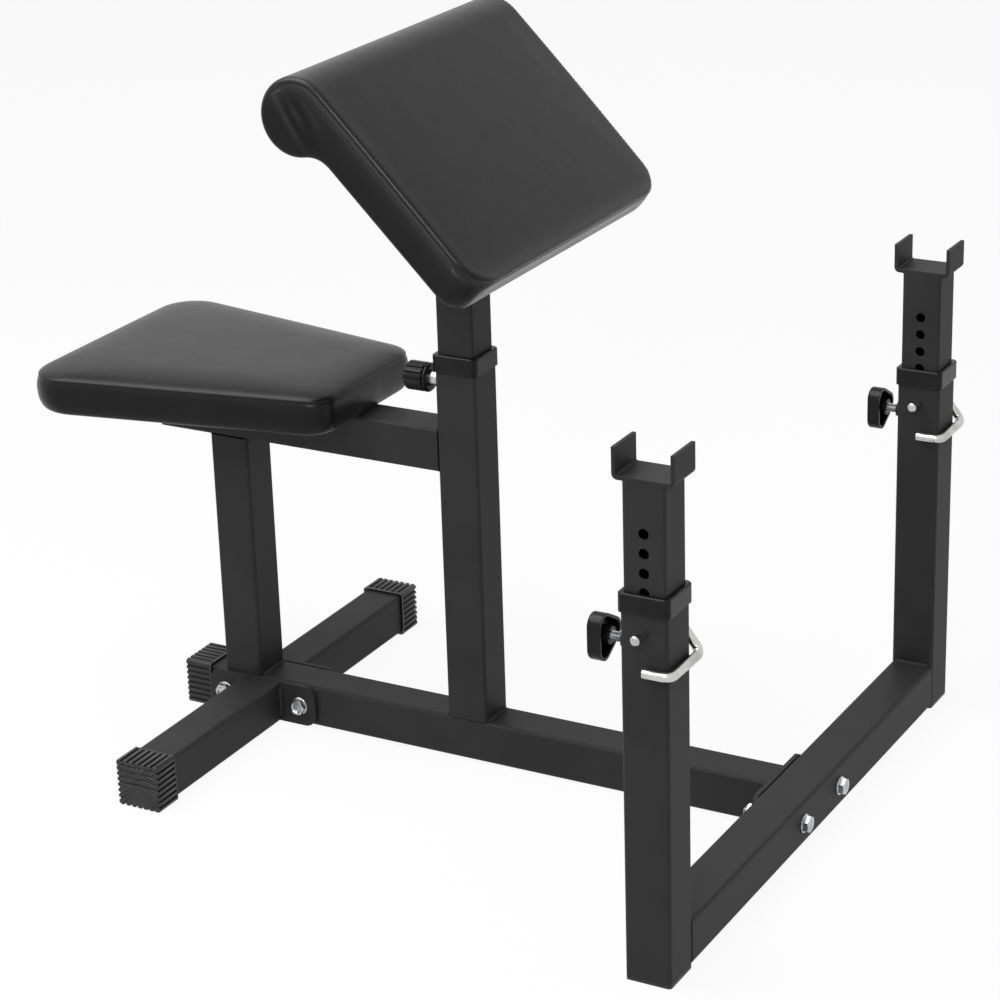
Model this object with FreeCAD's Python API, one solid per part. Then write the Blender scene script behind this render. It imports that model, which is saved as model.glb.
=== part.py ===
import FreeCAD, Part
import math
import os

V = FreeCAD.Vector

# Frame tubes
TUBE = 50.0
WALL = 2.0
TUBE_CORNER = 4.0
SLIDE_GAP = 0.5
POST_WALL = 2.0
POST_CORNER = 3.5

# Places of the frame members, measured from the pad column's axis and the floor
CENTRE_Y = 25.5
FRONT_REACH = 400.0
UPRIGHT_X = 353.0
REAR_END_Y = 384.0
STABILISER_Y = 275.0
STABILISER_HALF = 285.0
SEAT_POST_Y = 303.0
SEAT_BEAM_Z = 350.0
SEAT_BEAM_REAR = 395.0
COLUMN_TOP = 485.0
UPRIGHT_TOP = 414.0

# Ribbed end caps
CAP_WALL = 3.0
CAP_END = 4.0
CAP_LENGTH = 36.0
CAP_CORNER = 4.0
CAP_FLANGE = 2.5
SIDE_GROOVES = 7
TOP_GROOVES = 6
RIB_GROOVE_WIDTH = 2.8
RIB_GROOVE_DEPTH = 1.5
END_GROOVES = 4
END_GROOVE_WIDTH = 2.0
END_GROOVE_DEPTH = 1.2

# Square plugs in the open tube ends
PLUG_FLANGE = 3.0
PLUG_DEPTH = 15.0

# Plastic collars on the telescoping tubes
COLLAR_WALL = 2.5
COLLAR_HEIGHT = 20.0
COLLAR_TOP = 3.0
COLLAR_CORNER = 6.0
COLLAR_CHAMFER = 1.2
GUIDE_FIT = 0.05

# Bolted plates
END_PLATE_THICK = 5.0
END_PLATE_WIDTH = 124.0
END_BOLT_SPACING = 98.0
SIDE_PLATE_THICK = 5.0
SIDE_PLATE_LENGTH = 146.0
SIDE_BOLT_SPACING = 104.0
END_PLATE_CORNER = 10.0
SIDE_PLATE_CORNER = 15.0

# Hexagon bolts, washers and nuts
HEX_SIDES = 6
BOLT_D = 10.0
BOLT_GAP = 0.25
HEX_FLATS = 17.0
HEAD_HEIGHT = 6.4
NUT_HEIGHT = 8.0
WASHER_D = 21.0
WASHER_THICK = 2.0
BOLT_TAIL = 4.0

# Adjusting holes in the inner posts
HOLE_GAP = 0.5
REST_HOLES_BELOW = 1
REST_HOLES_ABOVE = 5
REST_PITCH = 20.0
PAD_PITCH = 25.0
PAD_HOLES_BELOW = 2
PAD_HOLES_ABOVE = 4

# Bar rests
REST_TOP = 528.0
REST_POST_LENGTH = 298.0
SADDLE_THICK = 4.0
SADDLE_LENGTH = 65.0
SADDLE_HEIGHT = 32.0
SADDLE_BEND = 6.0

# Bent locking pins
PIN_D = 10.0
PIN_FIT = 0.05
PIN_Z = 378.0
PIN_TIP = 20.0
PIN_ARM_OUT = 4.0
PIN_DROP = 38.0
PIN_REST_GAP = 0.3
PIN_TAIL_GAP = 1.0
PIN_TAIL = 28.0
PIN_BEND = 9.0
PIN_CHAMFER = 1.2

# Lock knobs
KNOB_Z = 358.0
KNOB_STANDOFF = 24.0
KNOB_THICK = 15.0
KNOB_REACH = 26.0
KNOB_LOBE = 13.0
KNOB_SKIN = 3.0
KNOB_HOLLOW = 9.0
KNOB_HUB = 9.0
KNOB_HUB_OUT = 3.0
KNOB_TURN = 0.0
KNOB_LOBES = 3
KNOB_ROUND = 2.5
STUD_D = 10.0
STUD_FIT = 0.05
STUD_TIP_GAP = 0.05
STUD_IN_KNOB = 11.0
WELD_NUT_HEIGHT = 8.0

# Spring plunger on the pad column
PLUNGER_Z = 450.5
PLUNGER_D = 10.0
PLUNGER_STEM = 6.0
PLUNGER_FIT = 0.05
PLUNGER_ENTRY = 8.0
PLUNGER_SHOULDER = 1.0
SLEEVE_D = 18.0
SLEEVE_LENGTH = 18.0
SLEEVE_END = 3.0
SPRING_WIRE = 1.0
SPRING_D = 8.2
SPRING_TURNS = 6
GRIP_D = 33.0
GRIP_LENGTH = 29.0
GRIP_FLUTES = 14
GRIP_FLUTE_R = 1.8
GRIP_FLUTE_DEPTH = 2.0
GRIP_FRONT = 6.5
GRIP_RING_WIDTH = 2.6
GRIP_RING_DEPTH = 3.0
GRIP_CHAMFER = 2.0
GRIP_PIN_DEPTH = 22.0

# Seat
SEAT_REAR_WIDTH = 332.0
SEAT_FRONT_WIDTH = 198.0
SEAT_REAR_Y = 485.0
SEAT_FRONT_Y = 124.0
SEAT_REAR_CORNER = 40.0
SEAT_FRONT_CORNER = 26.0
SEAT_CORNER_GROWTH = 0.25
SEAT_THICK = 50.0
SEAT_BOARD_THICK = 12.0
SEAT_BOARD_INSET = 9.0
SEAT_BOLT_FRONT_Y = 190.0
SEAT_BOLT_REAR_Y = 362.0
SEAT_BOLT_D = 8.0
SEAT_HEX_FLATS = 13.0
SEAT_HEAD_HEIGHT = 5.3
SEAT_WASHER_D = 20.0
TEE_BARREL_D = 11.0
TEE_FLANGE_D = 22.0
TEE_FLANGE_THICK = 1.6

# Share of the seat pad's thickness and the inset of its outline at each level
SEAT_LEVELS = (
    (0.0, 2.5), (0.07, 0.6), (0.25, -0.6), (0.5, -1.2), (0.68, -0.4),
    (0.8, 2.5), (0.88, 8.0), (0.94, 20.0), (0.98, 38.0), (1.0, 58.0),
)

# Arm pad, in its own slanted frame: S runs down the slope and N is square to the face
PAD_TILT = 45.0
PAD_FACE_Z = 768.0
PAD_WIDTH = 420.0
PAD_UNDER_N = -42.0
PAD_FACE_END_N = 6.0
PAD_FACE_SAG = 0.8
PAD_END_S = 194.0
PAD_END_ROUND = 14.0
PAD_CORNER = 22.0
ROLL_S = -63.5
ROLL_N = -33.0
ROLL_R = 42.0
ROLL_NECK = 32.0
PAD_BOARD_THICK = 12.0
PAD_BOARD_TOP_S = 0.0
PAD_BOARD_END_GAP = 24.0
PAD_BOARD_SIDE_GAP = 16.0
PAD_PLATE_THICK = 4.0
PAD_PLATE_TOP_S = 5.0
PAD_PLATE_LENGTH = 145.0
PAD_PLATE_WIDTH = 96.0
PAD_SCREW_D = 8.0
PAD_SCREW_FLATS = 13.0
PAD_SCREW_HEAD = 5.3
PAD_SCREW_DEPTH = 10.0
PAD_SCREW_EDGE = 14.0
PAD_POST_BOTTOM = 250.0

# Distance from each end of the arm pad and the inset of its section there
PAD_SECTIONS = (
    (0.0, 7.0), (0.7, 4.6), (2.2, 2.6), (4.8, 1.2), (8.5, 0.4),
    (14.0, 0.0), (22.0, -0.1), (38.0, -0.3), (70.0, -0.8),
)

# Values that follow from the sizes above
POST = TUBE - 2 * WALL - 2 * SLIDE_GAP
BASE_Z = CAP_WALL
BEAM_MID = BASE_Z + TUBE / 2
BEAM_TOP = BASE_Z + TUBE
HALF = TUBE / 2
SEAT_Z = SEAT_BEAM_Z + TUBE
FRONT_Y = -FRONT_REACH
X, Y, Z = V(1, 0, 0), V(0, 1, 0), V(0, 0, 1)


def box(low, high):
    size = high - low
    return Part.makeBox(size.x, size.y, size.z, low)


def bar(low, high, axis, corner):
    """Box whose long edges, along the axis, are rounded."""
    solid = box(low, high)
    edges = [e for e in solid.Edges if abs(e.tangentAt(e.FirstParameter).dot(axis)) > 1 / 2]
    return solid.makeFillet(corner, edges)


def square_bar(centre, axis, start, end, side, corner):
    """Rounded square bar about a line through the centre, from start to end along the axis."""
    across = (V(1, 1, 1) - axis) * (side / 2)
    middle = centre - axis * centre.dot(axis)
    return bar(middle - across + axis * start, middle + across + axis * end, axis, corner)


def square_tube(centre, axis, start, end, side, wall, corner):
    outer = square_bar(centre, axis, start, end, side, corner)
    return outer.cut(square_bar(centre, axis, start, end, side - 2 * wall, corner - wall))


def rod(point, axis, length, diameter):
    return Part.makeCylinder(diameter / 2, length, point, axis)


def hexagon(point, axis, flats, height):
    """Six-sided prism on the axis from the point."""
    side = axis.cross(X if abs(axis.x) < 1 / 2 else Z)
    third = axis.cross(side)
    step = 2 * math.pi / HEX_SIDES
    radius = flats / 2 / math.cos(step / 2)
    angles = [step * i for i in range(HEX_SIDES + 1)]
    corners = [point + side * (radius * math.cos(a)) + third * (radius * math.sin(a)) for a in angles]
    return Part.Face(Part.makePolygon(corners)).extrude(axis * height)


def washer(point, axis, diameter, bolt):
    ring = rod(point, axis, WASHER_THICK, diameter)
    return ring.cut(rod(point, axis, WASHER_THICK, bolt + 2 * BOLT_GAP))


def fuse_all(shapes):
    return shapes[0].multiFuse(shapes[1:]).removeSplitter()


def cut_all(solid, tools):
    return solid.cut(Part.makeCompound(tools))


def through_bolt(point, axis, grip):
    """Hexagon bolt, its two washers and its nut; the head's washer sits at the point."""
    head = hexagon(point - axis * (WASHER_THICK + HEAD_HEIGHT), axis, HEX_FLATS, HEAD_HEIGHT)
    length = grip + 2 * WASHER_THICK + NUT_HEIGHT + BOLT_TAIL
    bolt = fuse_all([head, rod(point - axis * WASHER_THICK, axis, length, BOLT_D)])
    rings = [
        washer(point - axis * WASHER_THICK, axis, WASHER_D, BOLT_D),
        washer(point + axis * grip, axis, WASHER_D, BOLT_D),
    ]
    seat = point + axis * (grip + WASHER_THICK)
    nut = hexagon(seat, axis, HEX_FLATS, NUT_HEIGHT).cut(rod(seat, axis, NUT_HEIGHT, BOLT_D))
    return bolt, rings, nut


def bent_rod(points, bend, diameter):
    """Round rod along straight runs that are joined by arcs of the bend radius."""
    edges = []
    start = points[0]
    for before, at, after in zip(points, points[1:], points[2:]):
        back = (before - at).normalize()
        ahead = (after - at).normalize()
        half = back.getAngle(ahead) / 2
        run = bend / math.tan(half)
        middle = at + (back + ahead).normalize() * (bend / math.sin(half) - bend)
        edges.append(Part.makeLine(start, at + back * run))
        edges.append(Part.Arc(at + back * run, middle, at + ahead * run).toShape())
        start = at + ahead * run
    edges.append(Part.makeLine(start, points[-1]))
    ring = Part.Wire(Part.makeCircle(diameter / 2, points[0], points[1] - points[0]))
    return Part.Wire(edges).makePipeShell([ring], True, False)


shapes = {}

# Main beam with the holes of the stabiliser's bolts
beam_line = V(0, 0, BEAM_MID)
beam_front = FRONT_Y + HALF + END_PLATE_THICK
side_bolt_ys = (STABILISER_Y - SIDE_BOLT_SPACING / 2, STABILISER_Y + SIDE_BOLT_SPACING / 2)
side_holes = [
    rod(V(-TUBE, y, BEAM_MID), X, 2 * TUBE, BOLT_D + 2 * BOLT_GAP) for y in side_bolt_ys
]
main_beam = square_tube(beam_line, Y, beam_front, REAR_END_Y - CAP_END, TUBE, WALL, TUBE_CORNER)
shapes["main_beam"] = cut_all(main_beam, side_holes)

# Front end plate, welded to the main beam
end_bolt_xs = (-END_BOLT_SPACING / 2, END_BOLT_SPACING / 2)
end_holes = [
    rod(V(x, FRONT_Y - TUBE, BEAM_MID), Y, 2 * TUBE, BOLT_D + 2 * BOLT_GAP) for x in end_bolt_xs
]
end_plate = bar(
    V(-END_PLATE_WIDTH / 2, FRONT_Y + HALF, BASE_Z),
    V(END_PLATE_WIDTH / 2, beam_front, BEAM_TOP),
    Y,
    END_PLATE_CORNER,
)
shapes["front_end_plate"] = cut_all(end_plate, end_holes)

# Front cross beam between the uprights
cross_half = UPRIGHT_X - HALF
cross_beam = square_tube(V(0, FRONT_Y, BEAM_MID), X, -cross_half, cross_half, TUBE, WALL, TUBE_CORNER)
shapes["front_cross_beam"] = cut_all(cross_beam, end_holes)

# Bolts that hold the end plate on the cross beam, heads to the front
front_sets = [through_bolt(V(x, FRONT_Y - HALF, BEAM_MID), Y, TUBE + END_PLATE_THICK) for x in end_bolt_xs]
shapes["front_bolts"] = Part.makeCompound([s[0] for s in front_sets])
shapes["front_washers"] = Part.makeCompound([ring for s in front_sets for ring in s[1]])
shapes["front_nuts"] = Part.makeCompound([s[2] for s in front_sets])

# Bolts that clamp both stabiliser halves on the main beam, heads to the left
side_grip = TUBE + 2 * SIDE_PLATE_THICK
side_sets = [through_bolt(V(-side_grip / 2, y, BEAM_MID), X, side_grip) for y in side_bolt_ys]
shapes["stabiliser_bolts"] = Part.makeCompound([s[0] for s in side_sets])
shapes["stabiliser_washers"] = Part.makeCompound([ring for s in side_sets for ring in s[1]])
shapes["stabiliser_nuts"] = Part.makeCompound([s[2] for s in side_sets])


def ribbed_cap():
    """End cap along +X with its open end at zero: lengthwise ribs all round, grooves on its end."""
    side = TUBE + 2 * CAP_WALL
    low = -side / 2
    cap = square_bar(V(0, 0, 0), X, 0, CAP_LENGTH, side, CAP_CORNER)

    def groove_places(count):
        return [low + side * (i + 1) / (count + 1) for i in range(count)]

    tools = [square_bar(V(0, 0, 0), X, 0, CAP_LENGTH - CAP_END, TUBE, TUBE_CORNER)]
    groove_half = RIB_GROOVE_WIDTH / 2
    for edge in (low, -low - RIB_GROOVE_DEPTH):
        floor = edge + RIB_GROOVE_DEPTH
        for y in groove_places(TOP_GROOVES):
            tools.append(box(V(CAP_FLANGE, y - groove_half, edge), V(CAP_LENGTH, y + groove_half, floor)))
        for z in groove_places(SIDE_GROOVES):
            tools.append(box(V(CAP_FLANGE, edge, z - groove_half), V(CAP_LENGTH, floor, z + groove_half)))
    for place in groove_places(SIDE_GROOVES)[-END_GROOVES:]:
        tools.append(
            box(
                V(CAP_LENGTH - END_GROOVE_DEPTH, low + CAP_WALL, place - END_GROOVE_WIDTH / 2),
                V(CAP_LENGTH, -low - CAP_WALL, place + END_GROOVE_WIDTH / 2),
            )
        )
    return cap.cut(tools[0]).cut(Part.makeCompound(tools[1:]))


def placed_cap(turn, point):
    cap = ribbed_cap()
    cap.rotate(V(0, 0, 0), Z, turn)
    cap.translate(point)
    return cap


# Rear stabiliser halves, their plates and all ribbed caps
plate_face = HALF + SIDE_PLATE_THICK
for name, sign, turn in (("left", -1, 180), ("right", 1, 0)):
    ends = sorted((sign * plate_face, sign * (STABILISER_HALF - CAP_END)))
    arm_line = V(0, STABILISER_Y, BEAM_MID)
    shapes[name + "_stabiliser"] = square_tube(arm_line, X, ends[0], ends[1], TUBE, WALL, TUBE_CORNER)
    faces = sorted((sign * HALF, sign * plate_face))
    plate = bar(
        V(faces[0], STABILISER_Y - SIDE_PLATE_LENGTH / 2, BASE_Z),
        V(faces[1], STABILISER_Y + SIDE_PLATE_LENGTH / 2, BEAM_TOP),
        X,
        SIDE_PLATE_CORNER,
    )
    shapes[name + "_stabiliser_plate"] = cut_all(plate, side_holes)
    cap_place = V(sign * (STABILISER_HALF - CAP_LENGTH), STABILISER_Y, BEAM_MID)
    shapes[name + "_stabiliser_cap"] = placed_cap(turn, cap_place)
shapes["main_beam_cap"] = placed_cap(90, V(0, REAR_END_Y - CAP_LENGTH, BEAM_MID))

# Seat post, seat beam and the plug in the beam's rear end
seat_line = V(0, 0, SEAT_BEAM_Z + HALF)
seat_beam_end = SEAT_BEAM_REAR - PLUG_FLANGE
seat_bolt_ys = (SEAT_BOLT_FRONT_Y, SEAT_BOLT_REAR_Y)
seat_holes = [
    rod(V(0, y, SEAT_BEAM_Z), Z, TUBE, SEAT_BOLT_D + 2 * BOLT_GAP) for y in seat_bolt_ys
]
shapes["seat_post"] = square_tube(
    V(0, SEAT_POST_Y, 0), Z, BEAM_TOP, SEAT_BEAM_Z, TUBE, WALL, TUBE_CORNER
)
seat_beam = square_tube(seat_line, Y, HALF, seat_beam_end, TUBE, WALL, TUBE_CORNER)
shapes["seat_beam"] = cut_all(seat_beam, seat_holes)
plug_bore = TUBE - 2 * WALL
plug_corner = TUBE_CORNER - WALL
plug_flange = square_bar(seat_line, Y, seat_beam_end, SEAT_BEAM_REAR, TUBE, TUBE_CORNER)
plug_core = square_bar(seat_line, Y, seat_beam_end - PLUG_DEPTH, seat_beam_end, plug_bore, plug_corner)
shapes["seat_beam_plug"] = fuse_all([plug_flange, plug_core])

# Pad column with the plunger's hole in its rear wall
plunger_bore = PLUNGER_D + 2 * PLUNGER_FIT
column = square_tube(V(0, 0, 0), Z, BEAM_TOP, COLUMN_TOP, TUBE, WALL, TUBE_CORNER)
shapes["pad_column"] = column.cut(rod(V(0, 0, PLUNGER_Z), Y, TUBE, plunger_bore))


def collar(line, tube_top):
    """Plastic cap over a tube's top with a square hole that guides the inner post."""
    bottom = tube_top + COLLAR_TOP - COLLAR_HEIGHT
    top = tube_top + COLLAR_TOP
    ring = square_bar(line, Z, bottom, top, TUBE + 2 * COLLAR_WALL, COLLAR_CORNER)
    rim = [e for e in ring.Edges if min(v.Z for v in e.Vertexes) > top - COLLAR_CHAMFER]
    ring = ring.makeChamfer(COLLAR_CHAMFER, rim)
    ring = ring.cut(square_bar(line, Z, bottom, tube_top, TUBE, TUBE_CORNER))
    return ring.cut(square_bar(line, Z, bottom, top, POST + 2 * GUIDE_FIT, POST_CORNER))


shapes["column_collar"] = collar(V(0, 0, 0), COLUMN_TOP)

# Spring plunger: sleeve on the column, shouldered pin, coil spring and fluted knob
post_face = POST / 2
sleeve_end = HALF + SLEEVE_LENGTH
spring_seat = sleeve_end - SLEEVE_END
pin_tip = post_face - PLUNGER_ENTRY
shoulder = HALF - PLUNGER_SHOULDER
axis_point = V(0, 0, PLUNGER_Z)
sleeve = rod(axis_point + Y * HALF, Y, SLEEVE_LENGTH, SLEEVE_D)
sleeve = sleeve.cut(rod(axis_point + Y * HALF, Y, SLEEVE_LENGTH - SLEEVE_END, plunger_bore))
stem_bore = rod(axis_point + Y * spring_seat, Y, SLEEVE_END, PLUNGER_STEM + 2 * PLUNGER_FIT)
shapes["plunger_sleeve"] = sleeve.cut(stem_bore)
stem_length = sleeve_end - shoulder + GRIP_PIN_DEPTH
shapes["plunger_pin"] = fuse_all(
    [
        rod(axis_point + Y * pin_tip, Y, shoulder - pin_tip, PLUNGER_D),
        rod(axis_point + Y * shoulder, Y, stem_length, PLUNGER_STEM),
    ]
)
spring_length = spring_seat - shoulder - SPRING_WIRE
coil_r = SPRING_D / 2
coil = Part.makeHelix(spring_length / SPRING_TURNS, spring_length, coil_r)
coil_ring = Part.Wire(Part.makeCircle(SPRING_WIRE / 2, V(coil_r, 0, 0), Y))
spring = Part.Wire(coil.Edges).makePipeShell([coil_ring], True, True)
spring.rotate(V(0, 0, 0), X, -90)
spring.translate(axis_point + Y * (shoulder + SPRING_WIRE / 2))
shapes["plunger_spring"] = spring
grip_r = GRIP_D / 2
grip_base = axis_point + Y * sleeve_end
grip = rod(grip_base, Y, GRIP_LENGTH, GRIP_D)
grip = grip.makeChamfer(GRIP_CHAMFER, [e for e in grip.Edges if e.Closed])
flute_line = grip_r - GRIP_FLUTE_DEPTH + GRIP_FLUTE_R
grip_tools = [rod(grip_base, Y, GRIP_PIN_DEPTH, PLUNGER_STEM)]
for i in range(GRIP_FLUTES):
    turn = 2 * math.pi * i / GRIP_FLUTES
    side = V(flute_line * math.cos(turn), GRIP_FRONT, flute_line * math.sin(turn))
    grip_tools.append(rod(grip_base + side, Y, GRIP_LENGTH - GRIP_FRONT, 2 * GRIP_FLUTE_R))
ring_base = grip_base + Y * (GRIP_FRONT - GRIP_RING_WIDTH)
ring_groove = rod(ring_base, Y, GRIP_RING_WIDTH, GRIP_D)
ring_core = rod(ring_base, Y, GRIP_RING_WIDTH, GRIP_D - 2 * GRIP_RING_DEPTH)
shapes["plunger_knob"] = cut_all(grip.cut(ring_groove.cut(ring_core)), grip_tools)


def knob_outline(lobe, place):
    """Face of a rounded triangle: an arc about each lobe, joined by straight sides."""
    reach = KNOB_REACH - KNOB_LOBE
    step = 2 * math.pi / KNOB_LOBES
    edges = []
    ends = []
    for i in range(KNOB_LOBES):
        angle = math.radians(KNOB_TURN) + step * i
        centre = V(reach * math.cos(angle), 0, reach * math.sin(angle))
        spots = [
            place + centre + V(lobe * math.cos(a), 0, lobe * math.sin(a))
            for a in (angle - step / 2, angle, angle + step / 2)
        ]
        edges.append(Part.Arc(spots[0], spots[1], spots[2]).toShape())
        ends.append((spots[0], spots[2]))
    for i in range(KNOB_LOBES):
        edges.append(Part.makeLine(ends[i][1], ends[(i + 1) % KNOB_LOBES][0]))
    return Part.Face(Part.Wire(Part.__sortEdges__(edges)))


def lock_knob(place):
    """Hollow lobed knob: open toward the upright, with a hub for the stud."""
    body = knob_outline(KNOB_LOBE, place).extrude(Y * KNOB_THICK)
    back = place.y + KNOB_THICK
    rim = [e for e in body.Edges if min(v.Y for v in e.Vertexes) > back - KNOB_SKIN / 2]
    body = body.makeFillet(KNOB_ROUND, rim)
    body = body.cut(knob_outline(KNOB_LOBE - KNOB_SKIN, place).extrude(Y * KNOB_HOLLOW))
    hub_start = place - Y * KNOB_HUB_OUT
    hub = rod(hub_start, Y, KNOB_HUB_OUT + KNOB_HOLLOW, 2 * KNOB_HUB)
    return fuse_all([body, hub]).cut(rod(hub_start, Y, STUD_IN_KNOB, STUD_D))


def post_holes(x, z, pitch, below, above, diameter):
    levels = [z + pitch * i for i in range(-below, above + 1)]
    return [rod(V(x - TUBE, FRONT_Y, level), X, 2 * TUBE, diameter) for level in levels]


# Front uprights and what hangs on each of them
rear_face = FRONT_Y + HALF
for name, x in (("left", -UPRIGHT_X), ("right", UPRIGHT_X)):
    line = V(x, FRONT_Y, 0)
    upright = square_tube(line, Z, BASE_Z, UPRIGHT_TOP, TUBE, WALL, TUBE_CORNER)
    pin_hole = rod(V(x - TUBE, FRONT_Y, PIN_Z), X, 2 * TUBE, PIN_D + 2 * PIN_FIT)
    stud_hole = rod(V(x, FRONT_Y, KNOB_Z), Y, TUBE, STUD_D + 2 * HOLE_GAP)
    shapes[name + "_upright"] = cut_all(upright, [pin_hole, stud_hole])
    shapes[name + "_collar"] = collar(line, UPRIGHT_TOP)
    foot = square_bar(line, Z, BASE_Z - PLUG_FLANGE, BASE_Z, TUBE, TUBE_CORNER)
    foot_core = square_bar(line, Z, BASE_Z, BASE_Z + PLUG_DEPTH, plug_bore, plug_corner)
    shapes[name + "_foot_plug"] = fuse_all([foot, foot_core])

    # Lock knob, stud and weld nut on the rear face
    nut_base = V(x, rear_face, KNOB_Z)
    weld_nut = hexagon(nut_base, Y, HEX_FLATS, WELD_NUT_HEIGHT)
    shapes[name + "_weld_nut"] = weld_nut.cut(rod(nut_base, Y, WELD_NUT_HEIGHT, STUD_D + 2 * STUD_FIT))
    knob_place = nut_base + Y * KNOB_STANDOFF
    shapes[name + "_lock_knob"] = lock_knob(knob_place)
    stud_tip = FRONT_Y + post_face + STUD_TIP_GAP
    stud_end = knob_place.y - KNOB_HUB_OUT + STUD_IN_KNOB
    shapes[name + "_lock_stud"] = rod(V(x, stud_tip, KNOB_Z), Y, stud_end - stud_tip, STUD_D)

    # Bar rest: inner post with its row of holes, and the bent saddle on top
    rest_post = square_tube(line, Z, REST_TOP - REST_POST_LENGTH, REST_TOP, POST, POST_WALL, POST_CORNER)
    hole_d = PIN_D + 2 * HOLE_GAP
    rest_holes = post_holes(x, PIN_Z, REST_PITCH, REST_HOLES_BELOW, REST_HOLES_ABOVE, hole_d)
    shapes[name + "_rest_post"] = cut_all(rest_post, rest_holes)
    saddle_low = V(x - post_face, FRONT_Y - SADDLE_LENGTH / 2, REST_TOP)
    saddle_high = V(x + post_face, FRONT_Y + SADDLE_LENGTH / 2, REST_TOP + SADDLE_HEIGHT)
    saddle = box(saddle_low, saddle_high)
    bends = [e for e in saddle.Edges if max(abs(v.Z - REST_TOP) for v in e.Vertexes) < 1]
    saddle = saddle.makeFillet(SADDLE_BEND, [e for e in bends if abs(e.tangentAt(0).x) > 1 / 2])
    hollow_low = saddle_low + V(0, SADDLE_THICK, SADDLE_THICK)
    hollow_high = saddle_high + V(0, -SADDLE_THICK, SADDLE_BEND)
    hollow = box(hollow_low, hollow_high)
    inner = [e for e in hollow.Edges if max(abs(v.Z - hollow_low.z) for v in e.Vertexes) < 1]
    inner = [e for e in inner if abs(e.tangentAt(0).x) > 1 / 2]
    shapes[name + "_rest_saddle"] = saddle.cut(hollow.makeFillet(SADDLE_BEND - SADDLE_THICK, inner))

    # Bent locking pin through the upright and the post
    pin_r = PIN_D / 2
    arm_x = x + HALF + COLLAR_WALL + PIN_ARM_OUT + pin_r
    tail_x = x - HALF - PIN_TAIL_GAP - pin_r
    grip_y = FRONT_Y - HALF - PIN_REST_GAP - pin_r
    grip_z = PIN_Z - PIN_DROP
    pin = bent_rod(
        [
            V(x - HALF - PIN_TIP, FRONT_Y, PIN_Z),
            V(arm_x, FRONT_Y, PIN_Z),
            V(arm_x, grip_y, grip_z),
            V(tail_x, grip_y, grip_z),
            V(tail_x, grip_y + PIN_TAIL, grip_z),
        ],
        PIN_BEND,
        PIN_D,
    )
    tips = [e for e in pin.Edges if e.Closed and abs(e.CenterOfMass.x - (x - HALF - PIN_TIP)) < PIN_CHAMFER]
    shapes[name + "_locking_pin"] = pin.makeChamfer(PIN_CHAMFER, tips)


def seat_outline(inset, z):
    """Rounded trapezoid, moved inward by the inset."""
    lean = math.atan2((SEAT_REAR_WIDTH - SEAT_FRONT_WIDTH) / 2, SEAT_REAR_Y - SEAT_FRONT_Y)
    slope = math.tan(lean)
    shift = inset / math.cos(lean)
    front = SEAT_FRONT_Y + inset
    rear = SEAT_REAR_Y - inset

    def half_width(y):
        return SEAT_FRONT_WIDTH / 2 + (y - SEAT_FRONT_Y) * slope - shift

    corners = [
        V(-half_width(front), front, z),
        V(half_width(front), front, z),
        V(half_width(rear), rear, z),
        V(-half_width(rear), rear, z),
    ]
    growth = SEAT_CORNER_GROWTH * inset
    front_round = SEAT_FRONT_CORNER + growth
    rear_round = SEAT_REAR_CORNER + growth
    return rounded_polygon(corners, (front_round, front_round, rear_round, rear_round))


def rounded_polygon(corners, radii):
    """Closed wire whose corners are arcs, each of its own radius."""
    count = len(corners)
    cuts = []
    for i in range(count):
        at = corners[i]
        radius = radii[i]
        back = (corners[i - 1] - at).normalize()
        ahead = (corners[(i + 1) % count] - at).normalize()
        half = back.getAngle(ahead) / 2
        run = radius / math.tan(half)
        middle = at + (back + ahead).normalize() * (radius / math.sin(half) - radius)
        cuts.append((at + back * run, middle, at + ahead * run))
    edges = []
    for i in range(count):
        edges.append(Part.Arc(*cuts[i]).toShape())
        edges.append(Part.makeLine(cuts[i][2], cuts[(i + 1) % count][0]))
    return Part.Wire(edges)


# Seat: board in the pad's underside, crowned pad, bolts from below into tee nuts
board_top = SEAT_Z + SEAT_BOARD_THICK
seat_board = Part.Face(seat_outline(SEAT_BOARD_INSET, SEAT_Z)).extrude(Z * SEAT_BOARD_THICK)
levels = [seat_outline(inset, SEAT_Z + share * SEAT_THICK) for share, inset in SEAT_LEVELS]
seat_pad = Part.makeLoft(levels, True, True).cut(seat_board)
seat_bolts, seat_washers, seat_nuts = [], [], []
for y in seat_bolt_ys:
    under = V(0, y, SEAT_BEAM_Z)
    seat_washers.append(washer(under - Z * WASHER_THICK, Z, SEAT_WASHER_D, SEAT_BOLT_D))
    head_base = under - Z * (WASHER_THICK + SEAT_HEAD_HEIGHT)
    shank = rod(under - Z * WASHER_THICK, Z, WASHER_THICK + TUBE + SEAT_BOARD_THICK, SEAT_BOLT_D)
    seat_bolts.append(fuse_all([hexagon(head_base, Z, SEAT_HEX_FLATS, SEAT_HEAD_HEIGHT), shank]))
    barrel = rod(V(0, y, SEAT_Z), Z, SEAT_BOARD_THICK, TEE_BARREL_D)
    flange = rod(V(0, y, board_top), Z, TEE_FLANGE_THICK, TEE_FLANGE_D)
    tee = fuse_all([barrel, flange])
    seat_board = seat_board.cut(tee)
    seat_pad = seat_pad.cut(tee)
    seat_nuts.append(tee.cut(rod(V(0, y, SEAT_Z), Z, SEAT_BOARD_THICK, SEAT_BOLT_D)))
shapes["seat_board"] = seat_board
shapes["seat_pad"] = seat_pad
shapes["seat_bolts"] = Part.makeCompound(seat_bolts)
shapes["seat_washers"] = Part.makeCompound(seat_washers)
shapes["seat_tee_nuts"] = Part.makeCompound(seat_nuts)

# Slanted frame of the arm pad
tilt = math.radians(PAD_TILT)
S_DIR = V(0, -math.cos(tilt), -math.sin(tilt))
N_DIR = V(0, -math.sin(tilt), math.cos(tilt))


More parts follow.
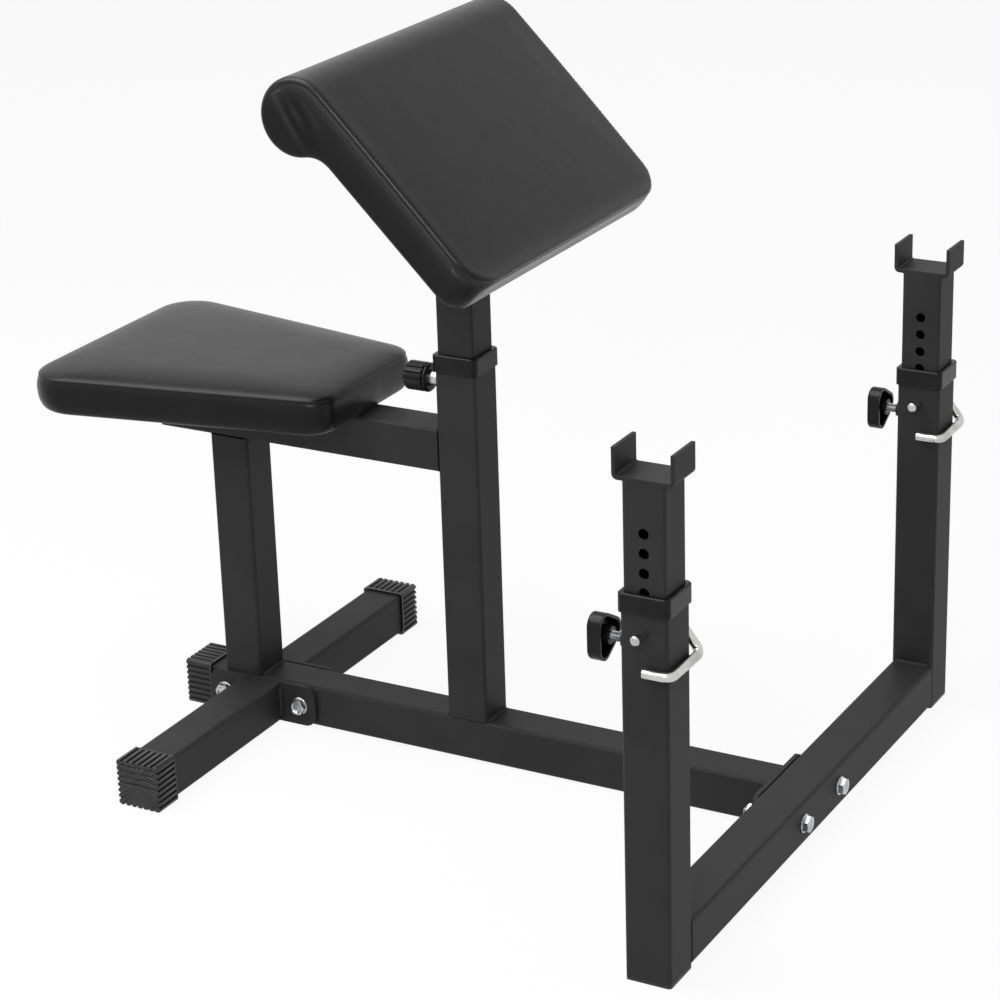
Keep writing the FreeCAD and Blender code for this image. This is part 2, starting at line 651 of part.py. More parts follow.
def on_pad(x, s, n):
    return V(x, 0, PAD_FACE_Z) + S_DIR * s + N_DIR * n


def pad_slab(half_x, s_start, s_end, n_low, n_high):
    """Flat rectangular slab in the pad's frame."""
    spots = [(s_start, n_low), (s_end, n_low), (s_end, n_high), (s_start, n_high), (s_start, n_low)]
    face = Part.Face(Part.makePolygon([on_pad(-half_x, s, n) for s, n in spots]))
    return face.extrude(X * (2 * half_x))


def pad_section(gap, x, inset):
    """Side view of the arm pad: flat face, rounded lower end, flat underside, neck and roll.
    Near the pad's sides the lower end is drawn up to round its corners."""
    inside = max(PAD_CORNER - gap, 0.0)
    draw = PAD_CORNER - math.sqrt(PAD_CORNER**2 - inside**2)
    roll = ROLL_R - inset
    end = PAD_END_S - inset - draw
    face_end = PAD_FACE_END_N - inset
    face_start = ROLL_N + roll
    turn = PAD_END_ROUND
    bulge = turn * (1 - math.cos(math.pi / 4))
    drop = ROLL_N - PAD_UNDER_N + ROLL_NECK
    reach = math.sqrt((roll + ROLL_NECK) ** 2 - drop**2)
    neck_s = ROLL_S + reach
    touch = math.atan2(-drop, reach)

    def about_roll(angle):
        return on_pad(x, ROLL_S + roll * math.cos(angle), ROLL_N + roll * math.sin(angle))

    def about_neck(angle):
        s = neck_s + ROLL_NECK * math.cos(angle)
        return on_pad(x, s, PAD_UNDER_N - ROLL_NECK + ROLL_NECK * math.sin(angle))

    def arc(start, middle, stop):
        return Part.Arc(start, middle, stop).toShape()

    face_middle = on_pad(x, (ROLL_S + end - turn) / 2, (face_start + face_end) / 2 + PAD_FACE_SAG)
    top = on_pad(x, ROLL_S, face_start)
    face_stop = on_pad(x, end - turn, face_end)
    end_top = on_pad(x, end, face_end - turn)
    end_low = on_pad(x, end, PAD_UNDER_N + turn)
    under_end = on_pad(x, end - turn, PAD_UNDER_N)
    under_start = on_pad(x, neck_s, PAD_UNDER_N)
    meet = about_roll(touch)
    far = about_roll(math.pi)
    neck_middle = about_neck((math.pi / 2 + math.pi + touch) / 2)
    return Part.Wire(
        [
            arc(top, face_middle, face_stop),
            arc(face_stop, on_pad(x, end - bulge, face_end - bulge), end_top),
            Part.makeLine(end_top, end_low),
            arc(end_low, on_pad(x, end - bulge, PAD_UNDER_N + bulge), under_end),
            Part.makeLine(under_end, under_start),
            arc(under_start, neck_middle, meet),
            arc(meet, about_roll((touch - math.pi) / 2), far),
            arc(far, about_roll(3 * math.pi / 4), top),
        ]
    )


# Arm pad on its board
pad_half = PAD_WIDTH / 2
sections = [pad_section(gap, gap - pad_half, inset) for gap, inset in PAD_SECTIONS]
sections += [pad_section(gap, pad_half - gap, inset) for gap, inset in reversed(PAD_SECTIONS)]
arm_pad = Part.makeLoft(sections, True, True)
board_half = pad_half - PAD_BOARD_SIDE_GAP
board_end = PAD_END_S - PAD_BOARD_END_GAP
board_n = PAD_UNDER_N + PAD_BOARD_THICK
arm_board = pad_slab(board_half, PAD_BOARD_TOP_S, board_end, PAD_UNDER_N, board_n)
shapes["arm_pad"] = arm_pad.cut(arm_board)

# Slanted support plate and its screws into the board
plate_n = PAD_UNDER_N - PAD_PLATE_THICK
plate_end = PAD_PLATE_TOP_S + PAD_PLATE_LENGTH
pad_plate = pad_slab(PAD_PLATE_WIDTH / 2, PAD_PLATE_TOP_S, plate_end, plate_n, PAD_UNDER_N)
pad_screws = []
for x in (-PAD_PLATE_WIDTH / 2 + PAD_SCREW_EDGE, PAD_PLATE_WIDTH / 2 - PAD_SCREW_EDGE):
    for s in (PAD_PLATE_TOP_S + PAD_SCREW_EDGE, plate_end - PAD_SCREW_EDGE):
        foot_point = on_pad(x, s, plate_n)
        head = hexagon(foot_point - N_DIR * PAD_SCREW_HEAD, N_DIR, PAD_SCREW_FLATS, PAD_SCREW_HEAD)
        shank = rod(foot_point, N_DIR, PAD_PLATE_THICK + PAD_SCREW_DEPTH, PAD_SCREW_D)
        pad_screws.append(fuse_all([head, shank]))
        pad_plate = pad_plate.cut(shank)
        arm_board = arm_board.cut(shank)
shapes["arm_board"] = arm_board
shapes["pad_plate"] = pad_plate
shapes["pad_screws"] = Part.makeCompound(pad_screws)

# Pad post: inner tube cut on the slant under the plate, with a row of holes for the plunger
post_line = V(0, 0, 0)
post_top = PAD_FACE_Z
pad_post = square_tube(post_line, Z, PAD_POST_BOTTOM, post_top, POST, POST_WALL, POST_CORNER)
above_plate = pad_slab(pad_half, -PAD_FACE_Z, PAD_FACE_Z, plate_n, plate_n + PAD_FACE_Z)
pad_levels = [PLUNGER_Z + PAD_PITCH * i for i in range(-PAD_HOLES_BELOW, PAD_HOLES_ABOVE + 1)]
pad_holes = [rod(V(0, 0, z), Y, TUBE, PLUNGER_D + 2 * HOLE_GAP) for z in pad_levels]
shapes["pad_post"] = cut_all(pad_post.cut(above_plate), pad_holes)

os.makedirs("parts", exist_ok=True)
for name, shape in shapes.items():
    shape.translate(V(0, -CENTRE_Y, 0))
    shape.exportStep("parts/" + name + ".step")
print(len(shapes), "nodes")
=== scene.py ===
import math

import bmesh
import bpy
import numpy as np
from mathutils import Matrix, Vector


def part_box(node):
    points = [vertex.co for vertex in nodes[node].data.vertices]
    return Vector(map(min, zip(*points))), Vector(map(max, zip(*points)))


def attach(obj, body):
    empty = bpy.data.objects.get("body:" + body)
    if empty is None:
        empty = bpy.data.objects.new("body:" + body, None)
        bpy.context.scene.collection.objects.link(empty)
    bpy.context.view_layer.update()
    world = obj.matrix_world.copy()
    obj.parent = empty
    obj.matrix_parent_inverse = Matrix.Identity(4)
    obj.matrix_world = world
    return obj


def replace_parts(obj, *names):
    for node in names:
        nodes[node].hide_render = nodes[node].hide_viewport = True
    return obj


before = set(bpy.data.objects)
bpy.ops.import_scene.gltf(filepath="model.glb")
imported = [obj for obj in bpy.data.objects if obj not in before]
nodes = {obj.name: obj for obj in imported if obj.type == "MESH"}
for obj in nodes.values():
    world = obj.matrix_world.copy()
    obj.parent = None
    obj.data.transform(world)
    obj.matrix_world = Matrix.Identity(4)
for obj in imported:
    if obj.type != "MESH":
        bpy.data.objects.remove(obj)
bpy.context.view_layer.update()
scene = bpy.context.scene

# Steel tubes and plates: square welded tube with rounded edges, flat end plates and bent saddles,
# cut and drilled before welding. The frame and its sliding posts are sprayed and baked in a satin
# black powder coat, which has a fine orange-peel skin.


class Tone:
    """A shader socket. Operators on it add Math nodes, and node() adds any other node."""

    def __init__(self, tree, socket=None):
        self.tree = tree
        self.socket = socket

    def node(self, kind, settings, sockets, output=0):
        """New node: first its settings, then a value or a link on each of its sockets."""
        made = self.tree.nodes.new(kind)
        for name, value in settings.items():
            setattr(made, name, value)
        for name, value in sockets.items():
            if isinstance(value, Tone):
                self.tree.links.new(value.socket, made.inputs[name])
            else:
                made.inputs[name].default_value = value
        return Tone(self.tree, made.outputs[output])

    def math(self, operation, first, second):
        return self.node("ShaderNodeMath", {"operation": operation}, {0: first, 1: second})

    def __add__(self, other):
        return self.math("ADD", self, other)

    def __sub__(self, other):
        return self.math("SUBTRACT", self, other)

    def __mul__(self, other):
        return self.math("MULTIPLY", self, other)

    __radd__ = __add__
    __rmul__ = __mul__

    def step(self, low, high):
        """0 below low, 1 above high, smooth between."""
        sockets = {"Value": self, "From Min": low, "From Max": high}
        return self.node("ShaderNodeMapRange", {"interpolation_type": "SMOOTHSTEP"}, sockets)

    def noise(self, scale, detail=2.0, warp=0.0):
        sockets = {"Vector": self, "Scale": scale, "Detail": detail, "Distortion": warp}
        return self.node("ShaderNodeTexNoise", {}, sockets, "Fac")

    def bump(self, strength, depth, under=None):
        """This value as a height over the surface; under is the normal that it lies on."""
        sockets = {"Strength": strength, "Distance": depth, "Height": self}
        if under:
            sockets["Normal"] = under
        return self.node("ShaderNodeBump", {}, sockets)

    def into(self, socket):
        """Links this value to a socket of the material's shader."""
        shader = self.tree.nodes["Principled BSDF"]
        self.tree.links.new(self.socket, shader.inputs[socket])

    def paint(self, dark, light, low=0.3, high=0.7):
        """Base colour that goes from dark to light as this value goes from low to high."""
        sockets = {0: self.step(low, high), 6: (*dark, 1.0), 7: (*light, 1.0)}
        self.node("ShaderNodeMix", {"data_type": "RGBA"}, sockets, 2).into("Base Color")


def new_finish(name, constants):
    """New material with constants on its shader's sockets, and its object coordinates."""
    finish = bpy.data.materials.new(name)
    finish.use_nodes = True
    shader = finish.node_tree.nodes["Principled BSDF"]
    for socket, value in constants.items():
        shader.inputs[socket].default_value = value
    place = Tone(finish.node_tree).node("ShaderNodeTexCoord", {}, {}, "Object")
    return finish, place


def dress(finish, *names):
    """Gives CAD nodes a finish."""
    for name in names:
        nodes[name].data.materials.clear()
        nodes[name].data.materials.append(finish)


COAT_DARK = (0.020, 0.020, 0.0207)
COAT_LIGHT = (0.027, 0.027, 0.0279)
COAT_EDGE = 0.0009
coat, place = new_finish("black_powder_coat", {"Specular IOR Level": 0.20})
patches = place.noise(11.0, 3.0)
peel = place.noise(900.0, 1.0)
patches.paint(COAT_DARK, COAT_LIGHT)
(0.50 + 0.10 * patches + 0.04 * peel).into("Roughness")
soft_edge = place.node("ShaderNodeBevel", {"samples": 4}, {"Radius": COAT_EDGE})
peel.bump(0.16, 0.0004, soft_edge).into("Normal")
dress(coat, "main_beam", "front_cross_beam", "front_end_plate", "pad_column", "seat_post", "seat_beam")
dress(coat, "pad_post", "pad_plate")
for side in ("left", "right"):
    dress(coat, side + "_stabiliser", side + "_stabiliser_plate", side + "_upright", side + "_weld_nut")
    dress(coat, side + "_rest_post", side + "_rest_saddle")

# Weld beads: the tubes are joined with short gas-shielded welds at their flat faces. Each bead is
# a rippled quarter round in the corner of two faces, laid before coating, so it has the coat's black.
BEAD_LEG = 0.0036
RING_LEG = 0.0022
BEAD_STEP = 0.0005
BEAD_PITCH = 0.0027
BEAD_RIPPLE = 0.16
BEAD_BOW = 0.5
BEAD_SINK = 0.0004
BEAD_SIDES = 9
SLEEVE_WELD, NUT_WELD = 0.009, 0.0088
UNDER_RISE = 0.8
TUBE_EDGE = 0.004
SMOOTH_ANGLE = math.radians(32)


def quads(rows, count, rings=True):
    """Faces of a grid of points whose rows are closed rings, or else open lines:
    (i, j), (i, j+1), (i+1, j+1), (i+1, j)."""
    i, j = np.meshgrid(np.arange(rows - 1), np.arange(count if rings else count - 1), indexing="ij")
    here, after = i * count + j, i * count + (j + 1) % count
    return np.stack([here, after, after + count, here + count], -1).reshape(-1, 4).tolist()


def shell(points, looped=False):
    """Closed surface of a grid of points, rows x ring x 3: looped joins its last row to its first,
    and otherwise its two end rows are filled flat."""
    rows, ring = points.shape[:2]
    if looped:
        points = np.concatenate([points, points[:1]])
        return points.reshape(-1, 3), quads(rows + 1, ring)
    ends = [list(range(ring)), list(range((rows - 1) * ring, rows * ring))]
    return points.reshape(-1, 3), quads(rows, ring) + ends


def joined(shells):
    """Shells as one list of points and faces, with doubled points merged and flat faces dropped.
    Also gives where each point went."""
    starts = np.cumsum([0] + [len(points) for points, faces in shells])
    points = np.concatenate([points for points, faces in shells])
    keys = np.round(points, 6)
    kept, went = np.unique(keys, axis=0, return_index=True, return_inverse=True)[1:]
    went = went.reshape(-1)
    faces = []
    for start, shell_faces in zip(starts, (faces for points, faces in shells)):
        for face in shell_faces:
            corners = list(dict.fromkeys(went[[start + corner for corner in face]].tolist()))
            if len(corners) > 2:
                faces.append(corners)
    return points[kept], faces, went


def new_piece(name, points, faces, finish, body):
    """New object with outward faces, smooth but for its sharp edges, riding on a body."""
    mesh = bpy.data.meshes.new(name)
    mesh.from_pydata(points.tolist(), [], faces)
    turned_out = bmesh.new()
    turned_out.from_mesh(mesh)
    bmesh.ops.recalc_face_normals(turned_out, faces=turned_out.faces)
    turned_out.to_mesh(mesh)
    turned_out.free()
    mesh.shade_smooth()
    mesh.set_sharp_from_angle(angle=SMOOTH_ANGLE)
    mesh.materials.append(finish)
    piece = bpy.data.objects.new(name, mesh)
    scene.collection.objects.link(piece)
    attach(piece, body)
    return piece


def laid(name, shells, finish, body):
    """New piece made of shells, in the given finish."""
    piece = new_piece(name, *joined(shells)[:2], finish, body)
    return piece


def carried(path, across, rise, profile, looped=False):
    """Profile carried along a path: point (i, j) is
    path[i] + across[i] * profile[i, j, 0] + rise[i] * profile[i, j, 1]."""
    across = np.broadcast_to(np.asarray(across, float), path.shape)
    rise = np.broadcast_to(np.asarray(rise, float), path.shape)
    spread = across[:, None] * profile[..., :1] + rise[:, None] * profile[..., 1:]
    return shell(path[:, None] + spread, looped)


def bead_profile(travel, taper, leg):
    """Quarter round of radius leg * taper * (1 - ripple * |sin(pi * phase)|), where phase is
    travel / pitch plus a bow across the bead, closed by one point sunk in the corner."""
    turn = np.linspace(0, math.pi / 2, BEAD_SIDES)
    bow = BEAD_BOW * (turn / (math.pi / 4) - 1) ** 2
    phase = travel[:, None] / BEAD_PITCH + bow
    radius = leg * taper[:, None] * (1 - BEAD_RIPPLE * np.abs(np.sin(math.pi * phase)))
    arc = np.stack([radius * np.cos(turn), radius * np.sin(turn)], -1)
    sunk = np.full((len(travel), 1, 2), -BEAD_SINK)
    return np.concatenate([arc, sunk], 1)


def bead(start, stop, across, rise, leg=BEAD_LEG):
    """Weld bead along a straight corner, with rounded ends: taper is sqrt(1 - (1 - d / leg)^2)
    for the distance d from the nearer end."""
    start, stop = np.array(start), np.array(stop)
    length = np.linalg.norm(stop - start)
    travel = np.linspace(0, length, int(length / BEAD_STEP))
    inside = np.minimum(travel, length - travel).clip(0.02 * leg, leg)
    taper = np.sqrt(1 - (1 - inside / leg) ** 2)
    path = start + (stop - start) * (travel / length)[:, None]
    return carried(path, across, rise, bead_profile(travel, taper, leg))


def ring_bead(centre, radius, leg=RING_LEG):
    """Weld bead round a rod that stands on a face, along +Y."""
    length = 2 * math.pi * radius
    turn = np.linspace(0, 2 * math.pi, round(length / BEAD_PITCH) * 6, endpoint=False)
    out = np.stack([np.cos(turn), np.zeros_like(turn), np.sin(turn)], -1)
    ripples = turn / (2 * math.pi) * BEAD_PITCH * round(length / BEAD_PITCH)
    profile = bead_profile(ripples, np.ones_like(turn), leg)
    return carried(np.array(centre) + out * radius, out, (0, 1, 0), profile, True)


beam_low, beam_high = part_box("main_beam")
column_low, column_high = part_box("pad_column")
post_low, post_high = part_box("seat_post")
seat_beam_low, seat_beam_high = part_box("seat_beam")
flat_half = beam_high.x - TUBE_EDGE
beads = [
    bead((-flat_half, y, z), (flat_half, y, z), (0, out, 0), (0, 0, rise))
    for y, z, out, rise in (
        (column_low.y, beam_high.z, -1, 1),
        (column_high.y, beam_high.z, 1, 1),
        (post_low.y, beam_high.z, -1, 1),
        (post_high.y, beam_high.z, 1, 1),
        (post_low.y, post_high.z, -1, -1),
        (post_high.y, post_high.z, 1, -1),
        (seat_beam_low.y, seat_beam_high.z, 1, 1),
        (seat_beam_low.y, seat_beam_low.z, 1, -1),
    )
]
sleeve_z = sum(corner.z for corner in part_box("plunger_sleeve")) / 2
beads.append(ring_bead((0, column_high.y, sleeve_z), SLEEVE_WELD))
weld_low, weld_high = beam_low.z + 1.5 * TUBE_EDGE, beam_high.z - 1.5 * TUBE_EDGE
for sign, side in ((-1, "left"), (1, "right")):
    x = sign * beam_high.x
    beads.append(bead((x, beam_low.y, weld_low), (x, beam_low.y, weld_high), (sign, 0, 0), (0, 1, 0)))
    arm_low, arm_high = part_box(side + "_stabiliser")
    x = arm_high.x if sign < 0 else arm_low.x
    for y, out in ((arm_low.y, -1), (arm_high.y, 1)):
        beads.append(bead((x, y, weld_low), (x, y, weld_high), (0, out, 0), (sign, 0, 0)))
    foot_low, foot_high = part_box("front_cross_beam")
    x = foot_low.x if sign < 0 else foot_high.x
    ends = (foot_low.y + TUBE_EDGE, foot_high.y - TUBE_EDGE)
    for z, out in ((foot_high.z, 1), (foot_low.z, -UNDER_RISE)):
        beads.append(bead((x, ends[0], z), (x, ends[1], z), (-sign, 0, 0), (0, 0, out)))
    nut_low, nut_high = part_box(side + "_weld_nut")
    nut_middle = (nut_low + nut_high) / 2
    beads.append(ring_bead((nut_middle.x, nut_low.y, nut_middle.z), NUT_WELD))
laid("frame_welds", beads, coat, "frame")
for side in ("left", "right"):
    rest_low, rest_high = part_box(side + "_rest_post")
    ends = (rest_low.x + TUBE_EDGE, rest_high.x - TUBE_EDGE)
    beads = [
        bead((ends[0], y, rest_high.z), (ends[1], y, rest_high.z), (0, out, 0), (0, 0, -1))
        for y, out in ((rest_low.y, -1), (rest_high.y, 1))
    ]
    laid(side + "_rest_welds", beads, coat, side + "_rest")
TILT = math.radians(45)
DOWN_SLOPE = np.array((0, -math.cos(TILT), -math.sin(TILT)))
OFF_SLOPE = np.array((0, -math.sin(TILT), math.cos(TILT)))
tube_low, tube_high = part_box("pad_post")
tube_flat = tube_high.x - TUBE_EDGE
tube_rise = tube_high.y - tube_low.y
front_z = tube_high.z - tube_rise * math.tan(TILT)
beads = [
    bead((-tube_flat, y, z), (tube_flat, y, z), out, (0, 0, -1))
    for y, z, out in ((tube_high.y, tube_high.z, -DOWN_SLOPE), (tube_low.y, front_z, DOWN_SLOPE))
]
for sign in (-1, 1):
    top = np.array((sign * tube_high.x, tube_high.y - TUBE_EDGE, tube_high.z - TUBE_EDGE))
    foot = np.array((sign * tube_high.x, tube_low.y + TUBE_EDGE, front_z + TUBE_EDGE))
    beads.append(bead(top, foot, (sign, 0, 0), -OFF_SLOPE))
laid("pad_plate_welds", beads, coat, "arm_rest")

# Rubber end caps on the rear feet: moulded black rubber pushed over the tube's open end, with a
# plain lip, rounded ribs along all four sides and bowed grip grooves on the upper half of the end.
CAP_CORNER = 0.004
CAP_LIP = 0.0026
CAP_END = 0.004
CAP_WALL, CAP_CLEAR = 0.003, 0.00005
RIBS_BESIDE = 7
RIBS_ABOVE = 6
RIB_GAP = 0.0032
RIB_DEPTH = 0.0023
RIB_WALL = 0.0007
CAP_RUN = 145
CAP_ROUND = 0.0013
GRIP_COUNT = 4
GRIP_GAP = 0.0020
GRIP_DEPTH = 0.0014
GRIP_BOW = 0.0012
GRIP_MARGIN, GRIP_FADE = 0.0035, 0.001
END_RINGS = 40
rubber, place = new_finish("black_moulded_rubber", {"Specular IOR Level": 0.5})
dust = place.noise(70.0, 4.0)
skin = place.noise(1600.0, 2.0)
dust.paint((0.006, 0.006, 0.0062), (0.012, 0.012, 0.0123), 0.35, 0.75)
(0.34 + 0.14 * dust).into("Roughness")
skin.bump(0.2, 0.0003).into("Normal")


def groove(gap, width):
    """Slot across a gap from its middle: 1 in the slot, 0 past it, with walls t^2 * (3 - 2 * t)."""
    t = np.clip((width / 2 - np.abs(gap)) / RIB_WALL + 0.5, 0, 1)
    return t**2 * (3 - 2 * t)


def rib_places(half, count):
    return (np.arange(count) + 1) / (count + 1) * 2 * half - half


def ribbed_ring(half, corner, depth):
    """Square outline with round corners, each side lowered by depth at its rib gaps. Side k is
    (half - depth * groove, run) turned by k quarter turns."""
    run = np.linspace(corner - half, half - corner, CAP_RUN)
    bend = np.linspace(0, math.pi / 2, 9)[1:-1]
    rows = []
    for quarter, count in enumerate((RIBS_BESIDE, RIBS_ABOVE, RIBS_BESIDE, RIBS_ABOVE)):
        gap = np.abs(run[:, None] - rib_places(half, count)).min(1)
        out = np.append(half - depth * groove(gap, RIB_GAP), half - corner + corner * np.cos(bend))
        along = np.append(run, half - corner + corner * np.sin(bend))
        turn = quarter * math.pi / 2
        cos, sin = math.cos(turn), math.sin(turn)
        rows.append(np.stack([out * cos - along * sin, out * sin + along * cos], -1))
    return np.concatenate(rows)


def ribbed_cap(name, axis, side_way):
    """Cap along axis from its open end: rings of (lengthwise place, outline) from the pocket's floor
    out over the lip and ribs to the end, then the outline shrunk to nothing over the end's grooves."""
    low, high = (np.array(corner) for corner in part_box(name))
    length = abs((high - low) @ axis)
    half = (high - low)[2] / 2
    middle = (low + high) / 2 - axis * length / 2
    pocket = ribbed_ring(half - CAP_WALL + CAP_CLEAR, CAP_CORNER, 0)
    lip = ribbed_ring(half, CAP_CORNER, 0)
    ribs = ribbed_ring(half, CAP_CORNER, RIB_DEPTH)
    rounding = np.linspace(0, math.pi / 2, 5)
    places = [length - CAP_END, 0.0004, 0.0, 0.0005, CAP_LIP - 0.0004, CAP_LIP]
    outlines = [pocket, pocket, lip * 0.985, lip, lip, lip * 0.992]
    places += [CAP_LIP + 0.0004, *(length - CAP_ROUND * (1 - np.sin(rounding)))]
    outlines += [ribs, *(ribs * (1 - CAP_ROUND / half * (1 - math.cos(turn))) for turn in rounding)]
    rings = [np.column_stack([np.full(len(ring), at), ring]) for at, ring in zip(places, outlines)]
    grips = rib_places(half, RIBS_BESIDE)[-GRIP_COUNT:]
    for share in np.linspace(1 - CAP_ROUND / half, 0, END_RINGS)[1:]:
        ring = ribs * share
        bowed = ring[:, 1] - GRIP_BOW * (1 - (ring[:, 0] / half) ** 2)
        gap = np.abs(bowed[:, None] - grips).min(1)
        fade = np.clip((half - GRIP_MARGIN - np.abs(ring[:, 0])) / GRIP_FADE, 0, 1)
        rings.append(np.column_stack([length - GRIP_DEPTH * groove(gap, GRIP_GAP) * fade, ring]))
    local = np.stack(rings)
    up = np.array((0, 0, 1))
    points = middle + local[..., :1] * axis + local[..., 1:2] * side_way + local[..., 2:] * up
    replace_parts(laid(name + "_ribbed", [shell(points)], rubber, "frame"), name)


ribbed_cap("left_stabiliser_cap", np.array((-1, 0, 0)), np.array((0, -1, 0)))
ribbed_cap("right_stabiliser_cap", np.array((1, 0, 0)), np.array((0, 1, 0)))
ribbed_cap("main_beam_cap", np.array((0, 1, 0)), np.array((-1, 0, 0)))

# Moulded fittings: the collars that guide the sliding posts, the plug in the seat beam's end and
# the three-lobed and fluted knobs are injection moulded black plastic, half gloss. The foot plugs
# under the uprights are rubber.
PLASTIC_EDGE = 0.0012
plastic, place = new_finish("black_moulded_plastic", {"Specular IOR Level": 0.17})
flow = place.noise(35.0, 3.0)
grain = place.noise(2200.0, 1.0)
flow.paint((0.006, 0.006, 0.0062), (0.010, 0.010, 0.0103))
(0.18 + 0.10 * flow).into("Roughness")
soft_edge = place.node("ShaderNodeBevel", {"samples": 4}, {"Radius": PLASTIC_EDGE})
grain.bump(0.12, 0.0003, soft_edge).into("Normal")
dress(plastic, "column_collar", "seat_beam_plug", "plunger_knob")
for side in ("left", "right"):
    dress(plastic, side + "_collar", side + "_lock_knob")
    dress(rubber, side + "_foot_plug")

# Bolts, nuts and washers: rolled steel with bright zinc plate. Heads and nuts are hexagons with
# turned corners, washers have rolled edges, and the ends show the cut thread.
BOLT_RADIUS = 0.005
THREAD_PITCH = 0.0015
THREAD_DEPTH = 0.0008
HEX_FLATS = 0.017
HEAD_HEIGHT = 0.0064
NUT_HEIGHT = 0.008
WASHER_RADIUS = 0.0105
WASHER_THICK = 0.002
HEX_TURN = 0.94
DISH_SHARE = 0.62
DISH_DEPTH = 0.0013
TURNS = np.arange(48) / 48
zinc, place = new_finish("bright_zinc_plate", {"Metallic": 1.0})
cloud = place.noise(60.0, 4.0)
brushed = place.noise(420.0, 3.0, 0.4)
cloud.paint((0.42, 0.424, 0.435), (0.58, 0.584, 0.59))
(0.18 + 0.2 * cloud + 0.06 * brushed).into("Roughness")
brushed.bump(0.08, 0.0002).into("Normal")


def turned(foot, axis, corner, radius, height, looped=False):
    """Turned form about an axis: point (i, j) is foot + axis * height[i, j] +
    (corner * cos(angle j) + (axis x corner) * sin(angle j)) * radius[i, j]."""
    angle = 2 * math.pi * TURNS[:, None]
    axis, corner = np.array(axis, float), np.array(corner, float)
    out = np.cos(angle) * corner + np.sin(angle) * np.cross(axis, corner)
    radius, height = (
        np.stack([np.broadcast_to(row, len(TURNS)) for row in rows])[..., None] for rows in (radius, height)
    )
    return shell(np.array(foot, float) + axis * height + out * radius, looped)


def hexagon(flats):
    """Radius of a hexagon by angle, with a corner at angle 0: flats / 2 / cos(angle mod 60 - 30). Also
    gives the circle its corners are turned to, and the drop of each at 30 degrees."""
    six = flats / 2 / np.cos(2 * math.pi * TURNS % (math.pi / 3) - math.pi / 6)
    circle = HEX_TURN * flats / 2
    return six, circle, (six - circle) * math.tan(math.pi / 6)


def bolt_head(foot, axis, corner, flats, height):
    """Hexagon whose outer corners are turned off at 30 degrees, with a dish pressed in its middle."""
    six, circle, drop = hexagon(flats)
    dish = DISH_SHARE * flats / 2
    radius = [six, six, circle, dish + DISH_DEPTH, dish]
    return turned(foot, axis, corner, radius, [0, height - drop, height, height, height - DISH_DEPTH])


def hex_nut(foot, axis, corner, flats, height, bore):
    """Hexagon turned off on both faces, with a countersunk bore."""
    six, circle, drop = hexagon(flats)
    sunk = THREAD_DEPTH
    radii = [bore, bore + sunk, circle, six, six, circle, bore + sunk, bore]
    heights = [sunk, 0, 0, drop, height - drop, height, height, height - sunk]
    return turned(foot, axis, corner, radii, heights)


def washer(foot, axis, corner, bore, radius):
    """Flat ring with rolled outer edges."""
    roll = WASHER_THICK / 5
    radii = [bore, radius - roll, radius, radius, radius - roll, bore]
    heights = [0, 0, roll, WASHER_THICK - roll, WASHER_THICK, WASHER_THICK]
    return turned(foot, axis, corner, radii, heights, True)


def threaded(foot, axis, corner, length, radius):
    """Rod with a helical thread: radius - depth * |2 * frac(height / pitch - turn) - 1|, and a
    blunt chamfer at its far end."""
    height = np.linspace(0, length, max(int(length / THREAD_PITCH * 8), 8))[:, None]
    tooth = np.abs(2 * ((height / THREAD_PITCH - TURNS) % 1) - 1)
    tip = np.clip((height - length + THREAD_PITCH) / THREAD_PITCH, 0, 1) * THREAD_DEPTH
    return turned(foot, axis, corner, list(radius - np.maximum(THREAD_DEPTH * tooth, tip)), list(height))


def hardware(name, shells, body="frame"):
    """Piece that stands for a CAD node of fasteners."""
    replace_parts(laid(name + "_turned", shells, zinc, body), name)


def bolted(joint, axis, corner, heads, nuts, length):
    """A joint's bolts, of a length from the inner face of the head, with their washers and nuts."""
    shells = [bolt_head(at, -np.array(axis), corner, HEX_FLATS, HEAD_HEIGHT) for at in heads]
    hardware(joint + "_bolts", shells + [threaded(at, axis, corner, length, BOLT_RADIUS) for at in heads])
    under_nuts = np.array(nuts) - np.array(axis) * WASHER_THICK
    shells = [washer(at, axis, corner, BOLT_RADIUS, WASHER_RADIUS) for at in (*heads, *under_nuts)]
    hardware(joint + "_washers", shells)
    shells = [hex_nut(at, axis, corner, HEX_FLATS, NUT_HEIGHT, BOLT_RADIUS) for at in nuts]
    hardware(joint + "_nuts", shells)


UP, BACK = (0, 0, 1), (0, 1, 0)
bolt_low, bolt_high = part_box("front_bolts")
bolt_z = (bolt_low.z + bolt_high.z) / 2
bolt_x = bolt_high.x - HEX_FLATS / 2
head_y, nut_y = bolt_low.y + HEAD_HEIGHT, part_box("front_nuts")[0].y
heads, nuts = ([(x, y, bolt_z) for x in (-bolt_x, bolt_x)] for y in (head_y, nut_y))
bolted("front", BACK, UP, heads, nuts, bolt_high.y - head_y)
bolt_low, bolt_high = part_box("stabiliser_bolts")
hex_reach = HEX_FLATS / 2 / math.cos(math.pi / 6)
spots = (bolt_low.y + hex_reach, bolt_high.y - hex_reach)
head_x, nut_x = bolt_low.x + HEAD_HEIGHT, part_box("stabiliser_nuts")[0].x
heads, nuts = ([(x, y, bolt_z) for y in spots] for x in (head_x, nut_x))
bolted("stabiliser", (1, 0, 0), BACK, heads, nuts, bolt_high.x - head_x)

